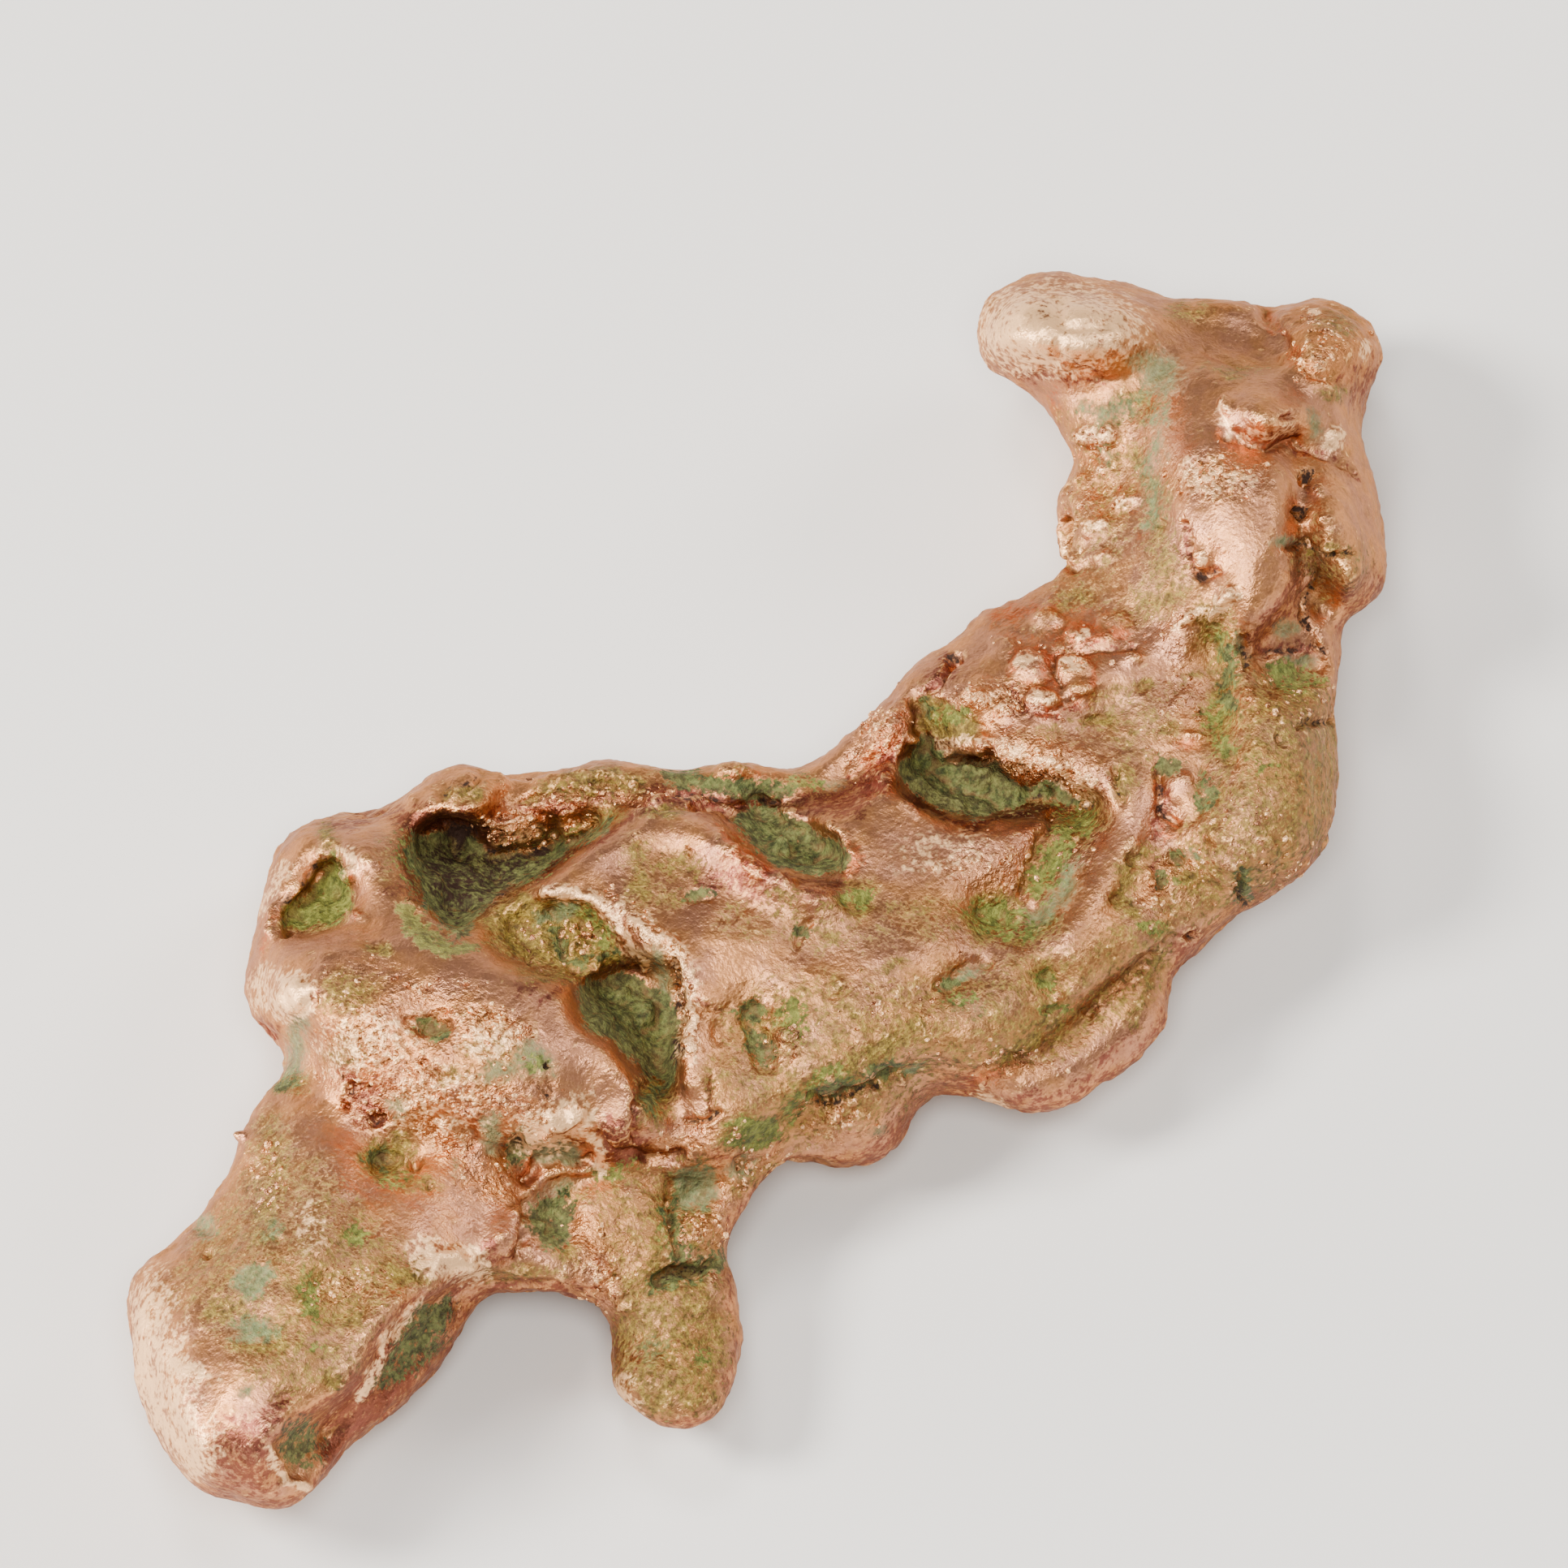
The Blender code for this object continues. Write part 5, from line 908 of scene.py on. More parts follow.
def drawn(tint: Tint, spots: np.ndarray) -> np.ndarray:
    """How strongly a tint's marks cover each spot.

    Args:
        tint: The marks to draw.
        spots: Rows of x and y.

    Returns:
        One number for each spot, from 0 to 1.
    """
    total = np.zeros(len(spots))
    for shape in STAINS[tint]:
        total = np.maximum(total, shape.strength * shape.cover(spots))
    return total


@dataclass(frozen=True)
class Ripple:
    """One size of the metal's hackly grain: its depth on smooth metal, and what crumbly metal adds to it."""

    size_mm: float
    smooth_mm: float
    crumbly_mm: float
    seed: int
    ridged: bool = False
    ridge_middle: float = 0.3

    def height(self, places: np.ndarray, crumbly: np.ndarray) -> np.ndarray:
        """How far the ripple moves the surface.

        Args:
            places: Points in millimetres, one row each.
            crumbly: How crumbly the metal is at each point, from 0 to 1.

        Returns:
            One height for each point, in millimetres.
        """
        pattern = grain(places, self.size_mm, self.seed)
        if self.ridged:
            pattern = np.abs(pattern) - self.ridge_middle
        return (self.smooth_mm + self.crumbly_mm * crumbly) * pattern


@dataclass(frozen=True)
class Spread:
    """How a tint lies on the sides that no mark is drawn on.

    Broad hollows, small pits, a mottle of its own and a pattern that all tints share are added up by weight,
    and the sum is eased from where the tint starts to where it is full.
    """

    start: float
    full: float
    basin: float = 0.0
    pit: float = 0.0
    mottle: float = 0.0
    size_mm: float = 1.0
    seed: int = 0
    shared: float = 0.0
    strength: float = 1.0

    def cover(self, places: np.ndarray, basin: np.ndarray, pit: np.ndarray, shared: np.ndarray) -> np.ndarray:
        """How strongly the tint lies at each point.

        Args:
            places: Points in millimetres, one row each.
            basin: How deep each lies in a broad hollow, in millimetres.
            pit: How deep each lies in a small pit, in millimetres.
            shared: The pattern that all tints share.

        Returns:
            One number for each point, from 0 to 1.
        """
        total = basin * self.basin + pit * self.pit
        if self.mottle:
            total = total + self.mottle * grain(places, self.size_mm, self.seed)
        return smoothstep(total + self.shared * shared, self.start, self.full) * self.strength


@dataclass
class NuggetSkin:
    """The nugget's whole surface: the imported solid's copy with its fine forms, grain and colour marks."""

    sheet: Sheet
    voxel_mm: float = 0.108
    weld_mm: float = 0.001
    soften_rounds: int = 12
    triangles: int = 192000
    thinning_levels: int = 10
    foot_mm: float = 0.36
    pock_depth_mm: float = 0.5
    form_wander: Points = ((46.0, 4.0), (17.0, 4.0), (9.0, 1.5))
    stain_wander: Points = ((34.0, 7.0), (14.0, 5.0))
    near_rounds: int = 8
    far_rounds: int = 110
    halo_rounds: int = 14
    # The way that the shaded flanks face, in the sheet's axes, and how strongly shade is painted on them in
    # wine oxide colour.
    shaded_way: tuple[float, float, float] = (0.45, -0.80, 0.0)
    flank_shade: float = 0.62

    crumbly: ClassVar[dict[Tint, float]] = {Tint.GLITTER: 1.0, Tint.DEEP: 0.7, Tint.OLIVE: 0.5}
    crumbly_behind: ClassVar[float] = 0.4
    ripples: ClassVar[tuple[Ripple, ...]] = (
        Ripple(1.3, 0.055, 0.0, 11),
        Ripple(0.95, 0.025, 0.10, 12, ridged=True),
        Ripple(0.55, 0.020, 0.13, 13, ridged=True),
        Ripple(0.27, 0.012, 0.060, 14),
    )
    spreads: ClassVar[dict[Tint, Spread]] = {
        Tint.DEEP: Spread(0.25, 1.2, basin=3.0, shared=0.35),
        Tint.MOSS: Spread(0.4, 1.2, basin=2.0, mottle=0.6, size_mm=1.9, seed=30),
        Tint.PALE: Spread(0.5, 1.2, basin=1.4, mottle=0.8, size_mm=2.7, seed=25),
        Tint.OLIVE: Spread(0.0, 1.1, basin=2.0, mottle=0.5, size_mm=3.1, seed=24, shared=0.3),
        Tint.WINE_AND_SHADE: Spread(0.3, 1.1, pit=8.0, mottle=0.5, size_mm=2.0, seed=26),
        Tint.RUST: Spread(0.35, 1.0, mottle=1.0, size_mm=2.6, seed=31),
        Tint.AMBER: Spread(0.1, 0.9, mottle=1.0, size_mm=3.4, seed=27, strength=0.7),
        Tint.MAUVE: Spread(0.0, 0.8, mottle=1.0, size_mm=3.0, seed=28, strength=0.8),
        # Pits on the unmarked sides get the same near-black painted shade, partly grime.
        Tint.GRIME_AND_SHADE: Spread(0.12, 0.3, pit=1.0),
        Tint.BURNISH_HIGHLIGHT: Spread(0.35, 0.9, basin=-1.0, strength=0.3),
        Tint.GLITTER: Spread(0.1, 0.9, mottle=1.0, size_mm=3.8, seed=29, strength=0.6),
    }
    steady: ClassVar[tuple[Tint, ...]] = (Tint.GRIME_AND_SHADE, Tint.BURNISH_HIGHLIGHT)
    greens: ClassVar[tuple[Tint, ...]] = (Tint.DEEP, Tint.MOSS, Tint.PALE, Tint.OLIVE)

    def build(self) -> bpy.types.Object:
        """Makes the finished skin.

        Returns:
            The mesh object, at the origin, with its marks stored on it.
        """
        skin = self.copy_core()
        self.refine(skin)
        self.carve(skin)
        self.thin(skin)
        self.mark(skin)
        bpy.ops.object.shade_smooth()
        return skin

    def copy_core(self) -> bpy.types.Object:
        """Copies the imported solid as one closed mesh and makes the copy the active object.

        Returns:
            The copy.
        """
        bpy.ops.object.select_all(action="DESELECT")
        core = frame["nodes"][NODE]
        core.select_set(True)
        bpy.context.view_layer.objects.active = core
        bpy.ops.object.duplicate()
        skin = bpy.context.view_layer.objects.active
        skin.name = "nugget_skin"
        for key in [key for key in skin.keys() if key.startswith("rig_")]:
            del skin[key]
        bpy.ops.object.parent_clear(type="CLEAR_KEEP_TRANSFORM")
        bpy.ops.object.mode_set(mode="EDIT")
        bpy.ops.mesh.select_all(action="SELECT")
        bpy.ops.mesh.remove_doubles(threshold=self.weld_mm * MM)
        bpy.ops.object.mode_set(mode="OBJECT")
        return skin

    @staticmethod
    def modify(skin: bpy.types.Object, kind: str, **settings: object) -> None:
        """Adds a modifier and applies it.

        Args:
            skin: The active object.
            kind: The modifier's type.
            settings: The modifier's own properties.
        """
        bpy.ops.object.modifier_add(type=kind)
        modifier = skin.modifiers[-1]
        for name, value in settings.items():
            setattr(modifier, name, value)
        bpy.ops.object.modifier_apply(modifier=modifier.name)

    def refine(self, skin: bpy.types.Object) -> None:
        """Gives the copy an even, fine mesh and takes the solid's facets off it.

        Args:
            skin: The copy.
        """
        self.modify(skin, "SUBSURF", levels=1, render_levels=1)
        self.modify(skin, "REMESH", mode="VOXEL", voxel_size=self.voxel_mm * MM)
        self.modify(skin, "SMOOTH", iterations=self.soften_rounds, factor=0.5)

    def thin(self, skin: bpy.types.Object) -> None:
        """Brings the skin down to its number of triangles, and keeps most of them on its upper face.

        Args:
            skin: The carved skin.
        """
        _, normals, _ = self.read(skin)
        facing = smoothstep(normals @ self.sheet.outward(), -0.25, 0.15)
        group = skin.vertex_groups.new(name="spare")
        for level in range(self.thinning_levels + 1):
            chosen = np.flatnonzero(np.round(facing * self.thinning_levels) == level)
            group.add(chosen.tolist(), 1.0 - 0.09 * level, "REPLACE")
        skin.data.calc_loop_triangles()
        share = self.triangles / len(skin.data.loop_triangles)
        if share < 1.0:
            self.modify(skin, "DECIMATE", ratio=share, vertex_group=group.name, vertex_group_factor=0.4)
        skin.vertex_groups.clear()
        places, _, _ = self.read(skin)
        self.place(skin, places)

    @staticmethod
    def read(skin: bpy.types.Object) -> tuple[np.ndarray, np.ndarray, np.ndarray]:
        """Reads a mesh.

        Args:
            skin: The mesh object.

        Returns:
            The corners' places in millimetres, their normals, and the pairs of corners that edges join.
        """
        count = len(skin.data.vertices)
        places = np.zeros(count * 3)
        normals = np.zeros(count * 3, np.float32)
        edges = np.zeros(len(skin.data.edges) * 2, np.int32)
        skin.data.vertices.foreach_get("co", places)
        skin.data.vertex_normals.foreach_get("vector", normals)
        skin.data.edges.foreach_get("vertices", edges)
        return places.reshape(-1, 3) / MM, normals.reshape(-1, 3).astype(float), edges.reshape(-1, 2)

    @staticmethod
    def place(skin: bpy.types.Object, places: np.ndarray) -> None:
        """Moves the mesh's corners, and none below the ground.

        Args:
            skin: The mesh object.
            places: The corners' new places in millimetres, one row each.
        """
        places[:, 2] = np.maximum(places[:, 2], 0.0)
        skin.data.vertices.foreach_set("co", (places * MM).ravel())
        skin.data.update()

    def roughness(self, places: np.ndarray, spots: np.ndarray, front: np.ndarray) -> np.ndarray:
        """How the hackly grain moves the surface, deepest where the metal is crumbly.

        Args:
            places: The corners' places in millimetres.
            spots: Where they fall on the sheet.
            front: How far each corner faces the sheet, from 0 to 1.

        Returns:
            One height for each corner, in millimetres.
        """
        marks = [weight * drawn(tint, spots) for tint, weight in self.crumbly.items()]
        crumbly = np.max(marks, axis=0) * front + self.crumbly_behind * (1.0 - front)
        rough = np.zeros(len(places))
        for ripple in self.ripples:
            rough += ripple.height(places, crumbly)
        return rough

    def carve(self, skin: bpy.types.Object) -> None:
        """Cuts and raises the small forms, then roughens the whole surface.

        Args:
            skin: The refined skin.
        """
        places, normals, edges = self.read(skin)
        normals = relax(normals, edges, 3)
        normals /= np.linalg.norm(normals, axis=1, keepdims=True)
        facing = normals @ self.sheet.outward()
        front = smoothstep(facing, 0.02, 0.3)
        flat = self.sheet.flatten(places)
        spots = wander(flat, self.form_wander, 31)
        lift = np.zeros(len(places))
        reach = np.zeros(len(places))
        for shape in itertools.chain.from_iterable(FORMS.values()):
            total = reach if isinstance(shape, Shelf) else lift
            total += shape.lift(spots)
        lift *= 0.9 + 0.35 * grain(flat, 15.0, 41)
        reach *= smoothstep(facing, -0.1, 0.1)
        pocks = np.minimum(grain(places, 2.1, 15) + 0.5 * grain(places, 0.7, 16) + 0.55, 0.0)
        lift = lift * front + self.roughness(places, spots, front) + self.pock_depth_mm * pocks * (1.0 - front)
        grounded = (normals[:, 2] < 0.0) * (1.0 - smoothstep(places[:, 2], 0.0, self.foot_mm))
        moved = places + normals * (lift * (1.0 - grounded))[:, None] + self.sheet.outward() * reach[:, None]
        self.place(skin, moved)

    def mark(self, skin: bpy.types.Object) -> None:
        """Stores on the mesh how strongly each mark colours it, and its hollows and edges.

        Args:
            skin: The thinned skin.
        """
        places, normals, edges = self.read(skin)
        flat = self.sheet.flatten(places)
        ragged = wander(flat, self.stain_wander, 51)
        steady = wander(flat, self.form_wander, 31)
        facing = normals @ self.sheet.outward()
        front = smoothstep(facing, -0.02, 0.2)
        near = relax(places, edges, self.near_rounds)
        far = relax(near, edges, self.far_rounds)
        pit = np.einsum("ij,ij->i", near - places, normals)
        basin = np.einsum("ij,ij->i", far - places, normals)
        shared = grain(places, 2.4, 21) + 0.6 * grain(places, 0.9, 22) + 0.3 * grain(places, 0.4, 23)
        # Painted shade: flanks that face down and to the right, away from the key lamp, take the wine colour.
        low = np.array(self.sheet.turned() @ Vector(self.shaded_way))
        shaded_flank = smoothstep(normals @ low, 0.15, 0.75) * (1.0 - smoothstep(facing, 0.35, 0.7))
        patina = np.zeros(len(places))
        for tint in Tint:
            shown = drawn(tint, steady if tint in self.steady else ragged)
            cover = shown * front + self.spreads[tint].cover(places, basin, pit, shared) * (1.0 - front)
            if tint is Tint.WINE_AND_SHADE:
                cover = np.maximum(cover, self.flank_shade * shaded_flank)
            if tint in self.greens:
                patina = np.maximum(patina, cover)
            self.store(skin, tint.value, cover)
        self.store(skin, "halo", relax(patina[:, None], edges, self.halo_rounds)[:, 0])
        # The hollows drive painted shade and the khaki veil; the edges drive rubbed and painted highlight.
        self.store(skin, "hollow", smoothstep(pit, 0.0, 0.085))
        self.store(skin, "edge", smoothstep(-pit, 0.005, 0.075))

    @staticmethod
    def store(skin: bpy.types.Object, name: str, values: np.ndarray) -> None:
        """Stores one number for each corner of the mesh under a name."""
        skin.data.attributes.new(name, "FLOAT", "POINT").data.foreach_set("value", values.astype(np.float32))


@dataclass
class CopperCrumbs:
    """Small faceted crumbs of metal, half sunk in the roughest parts of the skin."""

    count: int = 2000
    radii_mm: tuple[float, float] = (0.07, 0.19)
    flattest: float = 0.45
    sunk: float = 0.25
    seed: int = 7
    glitter: float = 0.8
    # Each crumb's share of burnish and painted highlight: a start and a random part.
    burnish_highlight: tuple[float, float] = (0.1, 0.6)
    olive: float = 0.3

    def build(self, skin: bpy.types.Object, sheet: Sheet) -> bpy.types.Object:
        """Makes all crumbs as one mesh.

        Args:
            skin: The finished skin that they sit in.
            sheet: The sheet that the rough parts are drawn on.

        Returns:
            The mesh object, at the origin.
        """
        places, normals, _ = NuggetSkin.read(skin)
        spots = sheet.flatten(places)
        chance = drawn(Tint.GLITTER, spots) ** 2 * (0.1 + np.maximum(grain(spots, 26.0, 61), 0.0))
        chance *= (normals @ sheet.outward() > 0.1) * (1.0 - np.minimum(drawn(Tint.DEEP, spots), 1.0))
        picker = np.random.default_rng(self.seed)
        picks = picker.choice(len(places), self.count, replace=False, p=chance / chance.sum())
        bpy.ops.object.select_all(action="DESELECT")
        bpy.ops.mesh.primitive_ico_sphere_add(subdivisions=1, radius=MM)
        pattern = bpy.context.view_layer.objects.active
        copies = [self.copy(pattern, picker, places[pick], normals[pick]) for pick in picks]
        bpy.data.objects.remove(pattern)
        for crumb in copies:
            crumb.select_set(True)
        bpy.context.view_layer.objects.active = copies[0]
        bpy.ops.object.join()
        crumbs = bpy.context.view_layer.objects.active
        crumbs.name = "copper_crumbs"
        bpy.ops.object.transform_apply(location=True, rotation=True, scale=True)
        tones = np.repeat(picker.random((self.count, 2)), len(crumbs.data.vertices) // self.count, axis=0)
        NuggetSkin.store(crumbs, Tint.GLITTER.value, np.full(len(tones), self.glitter))
        NuggetSkin.store(crumbs, Tint.BURNISH_HIGHLIGHT.value, self.burnish_highlight[0] + self.burnish_highlight[1] * tones[:, 0])
        NuggetSkin.store(crumbs, Tint.OLIVE.value, self.olive * tones[:, 1])
        return crumbs

    def copy(self, pattern: bpy.types.Object, picker: np.random.Generator, place: np.ndarray,
             normal: np.ndarray) -> bpy.types.Object:
        """Copies the pattern once, turned, squashed and sunk at random.

        Args:
            pattern: The crumb to copy.
            picker: The source of random numbers.
            place: Where the crumb sits, in millimetres.
            normal: The skin's normal there.

        Returns:
            The copy.
        """
        least, most = self.radii_mm
        radius = least + (most - least) * picker.random() ** 2
        crumb = pattern.copy()
        crumb.data = pattern.data.copy()
        crumb.scale = radius * (self.flattest + (1.0 - self.flattest) * picker.random(3))
        crumb.rotation_euler = picker.random(3) * 2.0 * np.pi
        crumb.location = (place - normal * radius * self.sunk) * MM
        bpy.context.scene.collection.objects.link(crumb)
        return crumb


class Part(Enum):
    """What the finish is mixed from: fine patterns, each flake's own tones, and marks on the mesh."""

    BROAD = "broad"
    PATCH = "patch"
    TEAR = "tear"
    CRUMB = "crumb"
    SPECKLE = "speckle"
    DUST = "dust"
    FIBRE = "fibre"
    MIXED = "mixed"
    FLAKE = "flake"
    TONE = "tone"
    SECOND = "second"
    EDGE = "edge"
    HOLLOW = "hollow"
    HALO = "halo"
    GLITTER = "glitter"


Parts = dict[Part, Socket]
Weights = dict[Part, float]
Masks = dict[Tint, Socket]


class Graph:
    """A node tree, built by short calls that each return the socket they make."""

    def __init__(self, tree: bpy.types.NodeTree) -> None:
        """Takes the tree and empties it."""
        self.tree = tree
        tree.nodes.clear()

    def feed(self, socket: Socket, value: Value) -> None:
        """Links another node's socket to this one, or sets this one's value.

        Args:
            socket: The input.
            value: The other node's output, or the value.
        """
        if isinstance(value, Socket):
            self.tree.links.new(value, socket)
        else:
            socket.default_value = value

    def node(self, kind: str, given: dict[Name, Value], **settings: object) -> bpy.types.Node:
        """Adds a node.

        Args:
            kind: The node's type.
            given: What its inputs get, by their names or numbers.
            settings: The node's own properties.

        Returns:
            The node.
        """
        made = self.tree.nodes.new(kind)
        for name, value in settings.items():
            setattr(made, name, value)
        for name, value in given.items():
            self.feed(made.inputs[name], value)
        return made

    def math(self, operation: str, *values: Value) -> Socket:
        """Adds a Math node."""
        return self.node("ShaderNodeMath", dict(enumerate(values)), operation=operation).outputs[0]

    def fold(self, operation: str, values: Iterable[Value]) -> Socket:
        """Joins numbers one after another by the same operation."""
        return functools.reduce(functools.partial(self.math, operation), values)

    def times(self, *values: Value) -> Socket:
        """Multiplies numbers."""
        return self.fold("MULTIPLY", values)

    def sum(self, *values: Value) -> Socket:
        """Adds numbers up."""
        return self.fold("ADD", values)

    def most(self, *values: Value) -> Socket:
        """The largest of some numbers."""
        return self.fold("MAXIMUM", values)

    def line(self, value: Value, slope: float, start: Value) -> Socket:
        """Multiplies a number by a slope and adds a start to it."""
        return self.math("MULTIPLY_ADD", value, slope, start)

    def weigh(self, parts: Parts, weights: Weights) -> Socket:
        """Adds up some parts, each by its weight."""
        return self.sum(*(self.times(parts[part], weight) for part, weight in weights.items()))

    def mix(self, share: Value, first: Value, second: Value, blend: str = "MIX") -> Socket:
        """Adds a Mix node for colours."""
        given = {0: share, 6: first, 7: second}
        return self.node("ShaderNodeMix", given, data_type="RGBA", blend_type=blend).outputs[2]

    def mix_value(self, share: Value, first: Value, second: Value) -> Socket:
        """Adds a Mix node for plain numbers."""
        return self.node("ShaderNodeMix", {0: share, 2: first, 3: second}, data_type="FLOAT").outputs[0]

    def gray(self, value: Value) -> Socket:
        """Turns a number into a gray."""
        return self.node("ShaderNodeCombineColor", dict.fromkeys(range(3), value)).outputs[0]

    def ease(self, value: Value, low: Value, high: Value, top: float = 1.0) -> Socket:
        """Adds a Map Range that eases from 0 at low to its top at high."""
        given = dict(enumerate((value, low, high, 0.0, top)))
        return self.node("ShaderNodeMapRange", given, interpolation_type="SMOOTHSTEP").outputs[0]

    def attribute(self, name: str) -> Socket:
        """Reads a number stored on the mesh."""
        return self.node("ShaderNodeAttribute", {}, attribute_name=name).outputs["Fac"]

    def place_in_mm(self) -> Socket:
        """The place on the object, in millimetres."""
        given = {0: self.node("ShaderNodeTexCoord", {}).outputs["Object"], "Scale": 1.0 / MM}
        return self.node("ShaderNodeVectorMath", given, operation="SCALE").outputs[0]

    def noise(self, place: Socket, scale: float, detail: float, rough: float) -> Socket:
        """Adds a Noise Texture.

        Args:
            place: Where on the object it is read.
            scale: Its steps to a millimetre.
            detail: How many finer patterns lie on it.
            rough: How strong they are.

        Returns:
            Its value, spread out round 0.
        """
        given = {"Vector": place, "Scale": scale, "Detail": detail, "Roughness": rough}
        made = self.node("ShaderNodeTexNoise", given)
        return self.times(self.math("SUBTRACT", made.outputs["Fac"], 0.5), 4.0)


def settled_mark_group() -> bpy.types.ShaderNodeTree:
    """Builds the group that makes a soft mark ragged and lets it settle between the surface's crumbs.

    Returns:
        The node group. Its output is a mask from 0 to 1.
    """
    tree = bpy.data.node_groups.new("Settled mark", "ShaderNodeTree")
    graph = Graph(tree)
    for name in ("Cover", "Tear", "Speckle", "Relief", "Raggedness", "Graininess", "Settling", "Softness"):
        tree.interface.new_socket(name, in_out="INPUT", socket_type="NodeSocketFloat")
    tree.interface.new_socket("Mask", in_out="OUTPUT", socket_type="NodeSocketFloat")
    given = graph.node("NodeGroupInput", {}).outputs
    value = graph.sum(
        given["Cover"],
        graph.times(given["Tear"], given["Raggedness"]),
        graph.times(given["Speckle"], given["Graininess"]),
        graph.times(given["Relief"], given["Settling"], -1.0),
    )
    low = graph.math("SUBTRACT", 0.5, given["Softness"])
    high = graph.math("ADD", 0.5, given["Softness"])
    present = graph.ease(given["Cover"], 0.04, 0.30)
    graph.node("NodeGroupOutput", {"Mask": graph.times(graph.ease(value, low, high), present)})
    return tree


@dataclass(frozen=True)
class Habit:
    """How a tint lies on the metal: how torn and speckled it is, how it settles, and how soft its edge is."""

    torn: float
    speckled: float
    settled: float
    soft: float


@dataclass(frozen=True)
class Patina:
    """A two-toned patina and how fully it hides what is under it."""

    dark: Colour
    light: Colour
    hiding: float


@dataclass(frozen=True)
class WornCopper:
    """Worn native copper: pink and tan metal with fine grain, and patina in several greens, with highlights,
    glints and shade painted into its colour.
    """

    tan: Colour = (0.610, 0.268, 0.108, 1.0)
    mauve: Colour = (0.490, 0.225, 0.128, 1.0)
    amber: Colour = (0.500, 0.190, 0.052, 1.0)
    rust: Colour = (0.480, 0.105, 0.035, 1.0)
    wine: Colour = (0.150, 0.034, 0.030, 1.0)
    umber: Colour = (0.190, 0.075, 0.030, 1.0)
    gold: Colour = (1.000, 0.560, 0.225, 1.0)
    peach: Colour = (1.000, 0.610, 0.300, 1.0)
    khaki: Colour = (0.185, 0.100, 0.021, 1.0)
    grime_shade: Colour = (0.024, 0.010, 0.006, 1.0)
    rim: Colour = (0.660, 0.580, 0.530, 1.0)
    olive: Patina = Patina((0.075, 0.060, 0.006, 1.0), (0.240, 0.185, 0.030, 1.0), 0.80)

    patinas: ClassVar[dict[Tint, Patina]] = {
        Tint.PALE: Patina((0.070, 0.108, 0.042, 1.0), (0.112, 0.160, 0.078, 1.0), 0.80),
        Tint.MOSS: Patina((0.040, 0.060, 0.008, 1.0), (0.165, 0.190, 0.035, 1.0), 0.86),
        Tint.DEEP: Patina((0.018, 0.028, 0.008, 1.0), (0.112, 0.132, 0.038, 1.0), 0.93),
    }
    habits: ClassVar[dict[Tint, Habit]] = {
        Tint.DEEP: Habit(0.34, 0.24, 0.26, 0.16),
        Tint.MOSS: Habit(0.42, 0.36, 0.34, 0.18),
        Tint.PALE: Habit(0.34, 0.24, 0.20, 0.42),
        Tint.OLIVE: Habit(0.42, 0.34, 0.34, 0.32),
        Tint.WINE_AND_SHADE: Habit(0.40, 0.34, 0.30, 0.30),
        Tint.RUST: Habit(0.36, 0.36, 0.20, 0.34),
        Tint.AMBER: Habit(0.36, 0.30, 0.20, 0.40),
        Tint.MAUVE: Habit(0.26, 0.10, 0.05, 0.40),
        Tint.GRIME_AND_SHADE: Habit(0.32, 0.26, 0.30, 0.24),
        Tint.BURNISH_HIGHLIGHT: Habit(0.42, 0.26, -0.50, 0.30),
        Tint.GLITTER: Habit(0.26, 0.00, 0.00, 0.40),
    }
    noises: ClassVar[dict[Part, tuple[float, float, float]]] = {
        Part.BROAD: (0.55, 3.0, 0.6),
        Part.PATCH: (1.5, 3.0, 0.6),
        Part.TEAR: (2.6, 5.0, 0.68),
        Part.FIBRE: (3.2, 5.0, 0.72),
        Part.CRUMB: (4.6, 2.0, 0.55),
        Part.SPECKLE: (8.5, 2.0, 0.55),
        Part.DUST: (15.0, 1.0, 0.5),
    }
    mixed: ClassVar[Weights] = {Part.TEAR: 0.36, Part.CRUMB: 0.36, Part.SPECKLE: 0.30, Part.DUST: 0.12}
    veil: ClassVar[Weights] = {Part.PATCH: 0.34, Part.CRUMB: 0.26, Part.HOLLOW: 0.25}
    gaps: ClassVar[Weights] = {
        Part.SECOND: 0.35, Part.SPECKLE: -0.20, Part.CRUMB: -0.25, Part.TEAR: -0.40, Part.PATCH: -0.60,
    }
    sparks: ClassVar[Weights] = {
        Part.TONE: 0.22, Part.SPECKLE: 0.16, Part.GLITTER: 0.32, Part.CRUMB: 0.22, Part.TEAR: 0.36,
        Part.PATCH: 0.55,
    }
    rub_highlight: ClassVar[Weights] = {Part.EDGE: 0.55, Part.CRUMB: 0.40, Part.SPECKLE: 0.40}
    bumps: ClassVar[Weights] = {Part.CRUMB: 0.26, Part.SPECKLE: 0.12, Part.DUST: 0.015}
    flake_scale: ClassVar[float] = 5.6
    bump_mm: ClassVar[float] = 0.12

    def material(self, settled: bpy.types.ShaderNodeTree) -> bpy.types.Material:
        """Builds the finish.

        Args:
            settled: The group that breaks marks up.

        Returns:
            The material.
        """
        made = bpy.data.materials.new("worn_copper")
        made.use_nodes = True
        graph = Graph(made.node_tree)
        parts = self.parts(graph)
        masks = {tint: self.mask(graph, settled, tint, parts) for tint in Tint}
        parts[Part.GLITTER] = masks[Tint.GLITTER]
        film = masks[Tint.OLIVE]
        green = graph.most(masks[Tint.PALE], masks[Tint.MOSS], masks[Tint.DEEP], masks[Tint.GRIME_AND_SHADE])
        glint_highlight = graph.times(self.glints_and_rub(graph, parts), self.bare(graph, masks, green))
